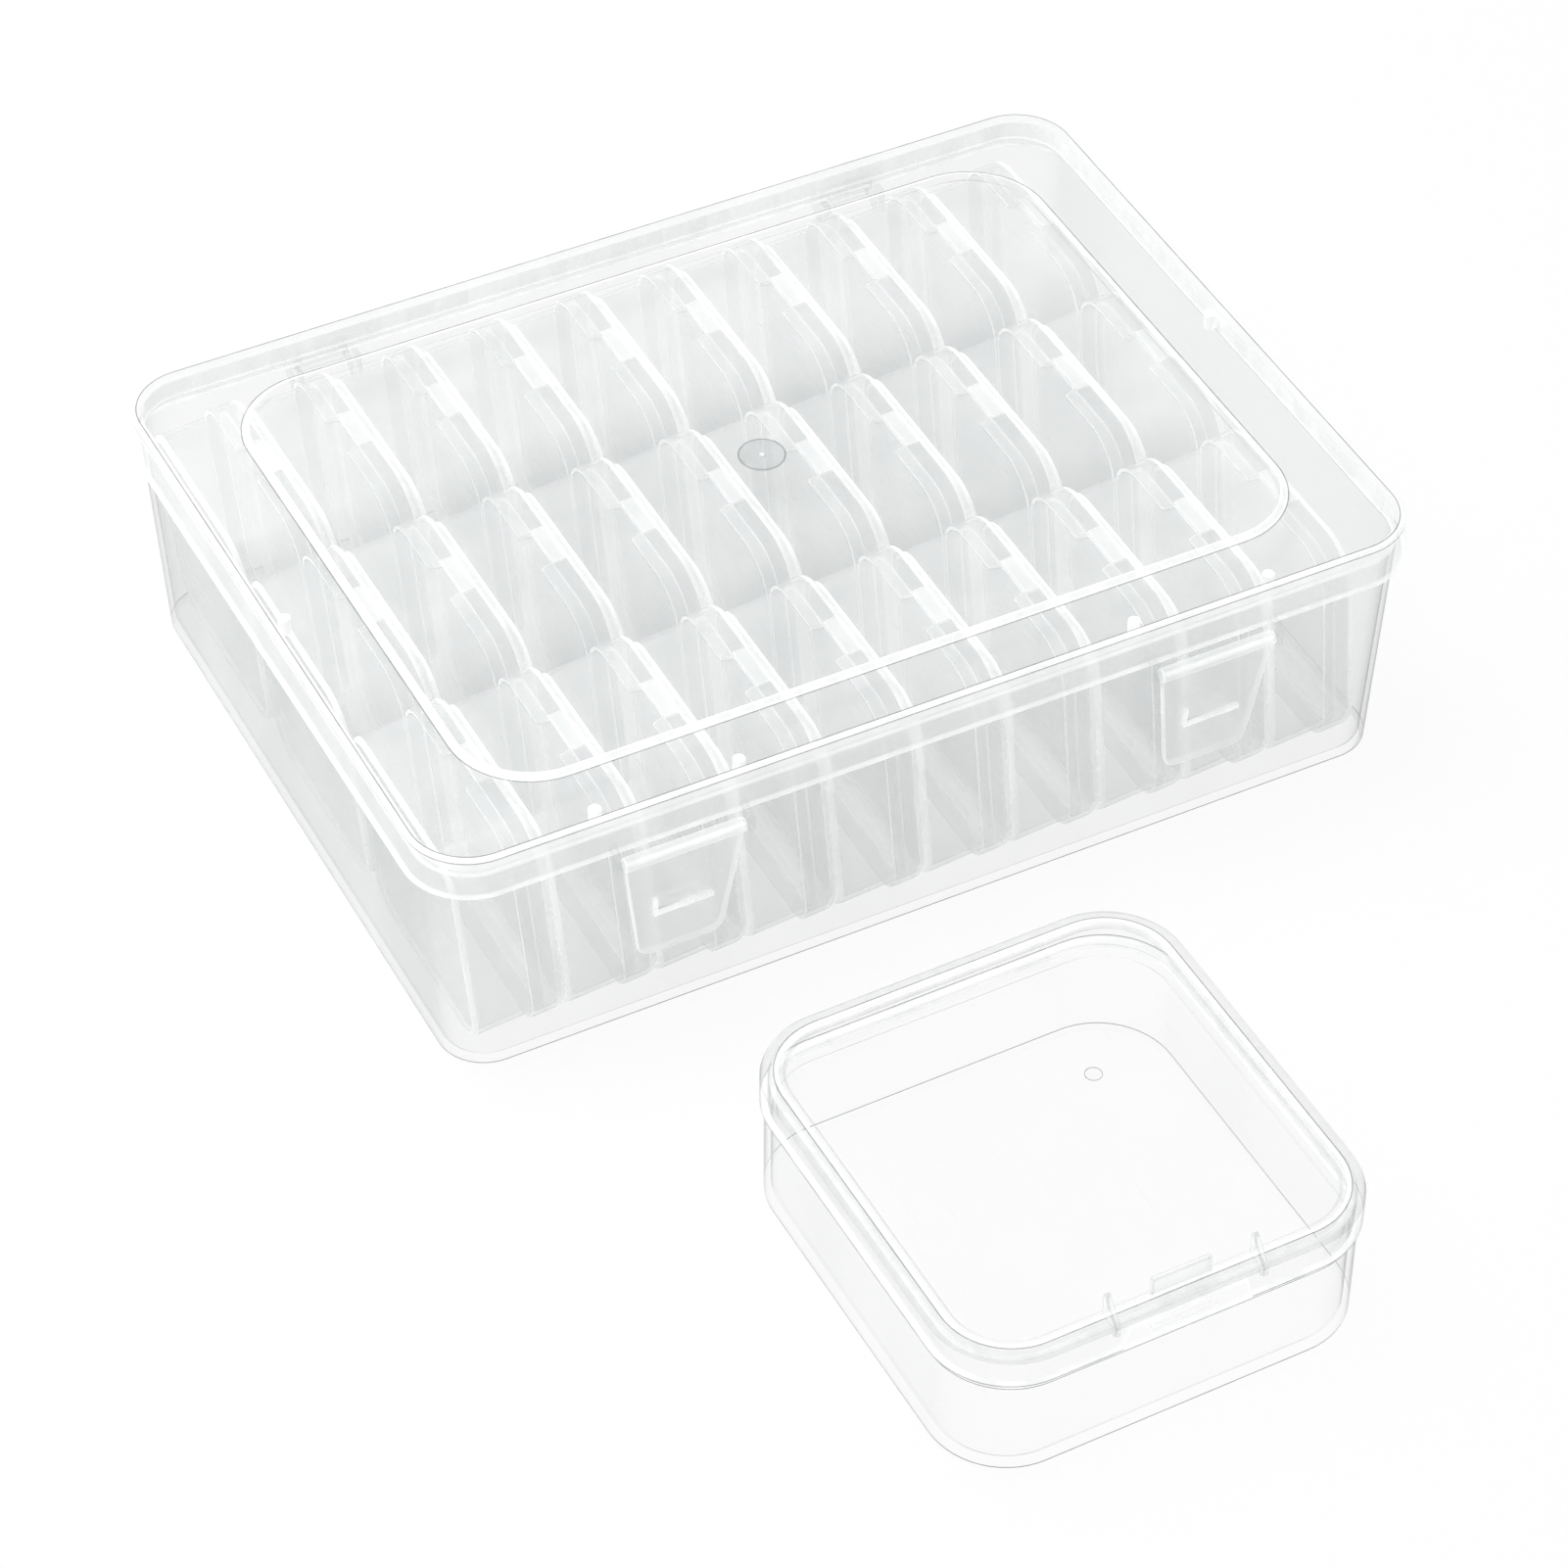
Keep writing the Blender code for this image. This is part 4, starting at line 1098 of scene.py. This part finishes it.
# %% Larger box sizes
LARGE_X = -0.0233
LARGE_Y = -0.1735
LARGE_TURN = 0.0144
LARGE_WIDTH = 0.0938
LARGE_DEPTH = 0.0984
LARGE_HEIGHT = 0.0338
LARGE_SKIRT = 0.0079
LARGE_LAP = 0.0055
LARGE_CORNER = 0.0175
LARGE_WALL = 0.0014
LARGE_LID_WALL = 0.0016
LARGE_PLATE = 0.0015
LARGE_BEVEL = 0.0010
LARGE_LID_ROUND = 0.0014
LARGE_BODY_INSET = 0.0009
LARGE_NECK = 0.0015
LARGE_NOTCH = 0.0310
LARGE_NOTCH_DEPTH = 0.0050
LARGE_PANEL_INSET = 0.0045
LARGE_PANEL_SINK = 0.0007
LARGE_LINE_INSET = 0.0026
LARGE_HEM = LARGE_HEIGHT - LARGE_SKIRT
large_place = Matrix.Translation((LARGE_X, LARGE_Y, 0)) @ Matrix.Rotation(LARGE_TURN, 4, "Z")
large_outside = (LARGE_WIDTH, LARGE_DEPTH, LARGE_CORNER)
front = -LARGE_DEPTH / 2

# %% [markdown]
# The base is nearly as wide as its lid. Below the lid it steps in at a shoulder to a neck, and the
# lid's skirt comes down over the neck. A small lip in front is there for the lid to catch on, and
# a ledge behind stands where the real box has its film hinge.

# %% Larger base
LIP_WIDTH = 0.0140
LIP_DEPTH = 0.0009
LIP_THICKNESS = 0.0012
LEDGE_WIDTH = 0.0500
LEDGE_DROP = 0.0006
MARK_RADIUS = 0.0019
MARK_X = 0.0290
MARK_Y = 0.0340

shape = bmesh.new()
body = shrink(large_outside, LARGE_BODY_INSET, LARGE_BEVEL)
neck = shrink(large_outside, LARGE_LID_WALL + GAP, 0)
shoulder = LARGE_HEM - LARGE_NECK
large_rim = LARGE_HEM + LARGE_LAP
step = LARGE_LID_WALL + GAP - LARGE_BODY_INSET
# A thin band above the foot and one under the shoulder are painted shade, and the shoulder's step and
# the rim take the painted highlight.
edges = loft(
    shape,
    [
        shrink(body, LARGE_BEVEL, 0),
        body,
        shrink(body, 0, LARGE_BEVEL + DARK_LINE),
        shrink(body, 0, shoulder - DARK_LINE),
        shrink(body, 0, shoulder),
        shrink(neck, 0, shoulder),
        shrink(neck, 0, large_rim),
        shrink(neck, LARGE_WALL, large_rim),
        shrink(neck, LARGE_WALL, shoulder - step),
        shrink(body, LARGE_WALL, shoulder - 2 * step),
        shrink(body, LARGE_WALL, 2 * LARGE_WALL),
        shrink(body, 2 * LARGE_WALL, LARGE_WALL),
    ],
    (CLEAR, DARK, CLEAR, DARK, BRIGHT, CLEAR, BRIGHT, CLEAR, CLEAR, CLEAR, CLEAR),
)
round_edges(shape, edges[6] + edges[7], RIM_RADIUS, BRIGHT)
neck_y = -front - LARGE_LID_WALL - GAP
ledge_low = (-LEDGE_WIDTH / 2, neck_y - LARGE_WALL / 2, shoulder - LEDGE_DROP)
bar(shape, ledge_low, (LEDGE_WIDTH / 2, -front, LARGE_HEM - GAP), SMALL_RADIUS, CLEAR, CLEAR)
lip_low = (-LIP_WIDTH / 2, -neck_y - LIP_DEPTH, LARGE_HEM)
lip_high = (LIP_WIDTH / 2, LARGE_WALL / 2 - neck_y, LARGE_HEM + LIP_THICKNESS)
bar(shape, lip_low, lip_high, SMALL_RADIUS, CLEAR)
pin(shape, MARK_RADIUS, GAP, Vector((MARK_X, MARK_Y, LARGE_WALL + GAP / 2)), "Z", GAP / 3, CLEAR, DARK)
bmesh.ops.transform(shape, matrix=large_place, verts=shape.verts)
large_base_mesh = to_mesh(shape, "large_base_shell", "large")
place_piece("large_base_shell", large_base_mesh, "large_base", "large_base")
print("larger base placed")

# %% [markdown]
# The lid is one loft, from inside its skirt, round the hem, up the outside and over the border to the
# sunk panel. Its border is a set of narrow bands of painted shade and highlight: grey painted shade
# where the edge rolls over, then a thin painted dark line with a painted bright one inside it. The thumb
# notch is cut as the small lid's is.

# %% Larger lid
shape = bmesh.new()
border = shrink(large_outside, LARGE_PANEL_INSET, LARGE_HEIGHT)
edges = loft(
    shape,
    [
        shrink(large_outside, LARGE_LID_WALL, LARGE_HEIGHT - LARGE_PLATE),
        shrink(large_outside, LARGE_LID_WALL, LARGE_HEM),
        (*large_outside, LARGE_HEM),
        (*large_outside, LARGE_HEM + DARK_LINE),
        (*large_outside, LARGE_HEIGHT - LARGE_LID_ROUND),
        shrink(large_outside, LARGE_LID_ROUND / 3, LARGE_HEIGHT - LARGE_LID_ROUND / 3),
        shrink(large_outside, LARGE_LID_ROUND, LARGE_HEIGHT),
        shrink(large_outside, LARGE_LINE_INSET, LARGE_HEIGHT),
        shrink(large_outside, LARGE_LINE_INSET + DARK_LINE, LARGE_HEIGHT),
        shrink(large_outside, LARGE_LINE_INSET + BRIGHT_LINE, LARGE_HEIGHT),
        border,
        shrink(border, LARGE_PANEL_SINK, LARGE_HEIGHT - LARGE_PANEL_SINK),
    ],
    (CLEAR, BRIGHT, DARK, CLEAR, GREY, GREY, GREY, DARK, BRIGHT, CLEAR, GREY),
)
notch = (LARGE_NOTCH, LARGE_NOTCH_DEPTH, front, LARGE_LID_WALL, LARGE_HEM)
cutter = notch_cutter("large_notch", *notch, "large")
notched = cut_mesh(to_mesh(shape, "large_lid", "large"), cutter, "large_lid")
shape = bmesh.new()
shape.from_mesh(notched)
print("larger lid faces", len(shape.faces))

# %% [markdown]
# A fin stands on the border at each end of the notch. Its side view rises from the border, rounds
# over at its crest and comes down past the lid's front. The tongue between them is a plain bar.
# Both are frosted with a painted glow, and their edges take the grey painted shade.

# %% Fins and tongue
FIN_WIDTH = 0.0014
FIN_RISE = 0.0056
FIN_OUT = 0.0008
FIN_DROP = 0.0030
FIN_TOP_SHARE = 0.25
FIN_EDGE = 0.0004
TONGUE_WIDTH = 0.0132
TONGUE_RISE = 0.0045
TONGUE_THICKNESS = 0.0012

inner = front + LARGE_PANEL_INSET
root = LARGE_HEIGHT - LARGE_PLATE / 2
fin_foot = LARGE_HEIGHT - FIN_DROP
crest = LARGE_HEIGHT + FIN_RISE
top_run = LARGE_PANEL_INSET * FIN_TOP_SHARE
fin_profile = [
    (inner, root),
    (inner, crest - top_run / 2),
    (inner - top_run / 2, crest),
    (inner - top_run, crest - top_run / 4),
    (front - FIN_OUT, LARGE_HEIGHT),
    (front - FIN_OUT, fin_foot + FIN_OUT),
    (front + LARGE_LID_WALL / 2, fin_foot),
    (front + LARGE_LID_WALL / 2, root),
]
for end in (-1, 1):
    slab(shape, fin_profile, end * (LARGE_NOTCH / 2 + FIN_WIDTH / 2), FIN_WIDTH, FIN_EDGE, FROSTED_GLOW, GREY)
tongue_low = (-TONGUE_WIDTH / 2, inner - TONGUE_THICKNESS, root)
bar(shape, tongue_low, (TONGUE_WIDTH / 2, inner, LARGE_HEIGHT + TONGUE_RISE), FIN_EDGE, FROSTED_GLOW, GREY)
bmesh.ops.transform(shape, matrix=large_place, verts=shape.verts)
large_lid_mesh = to_mesh(shape, "large_lid_shell", "large")
place_piece("large_lid_shell", large_lid_mesh, "large_lid", "large_lid")
print("larger lid placed")
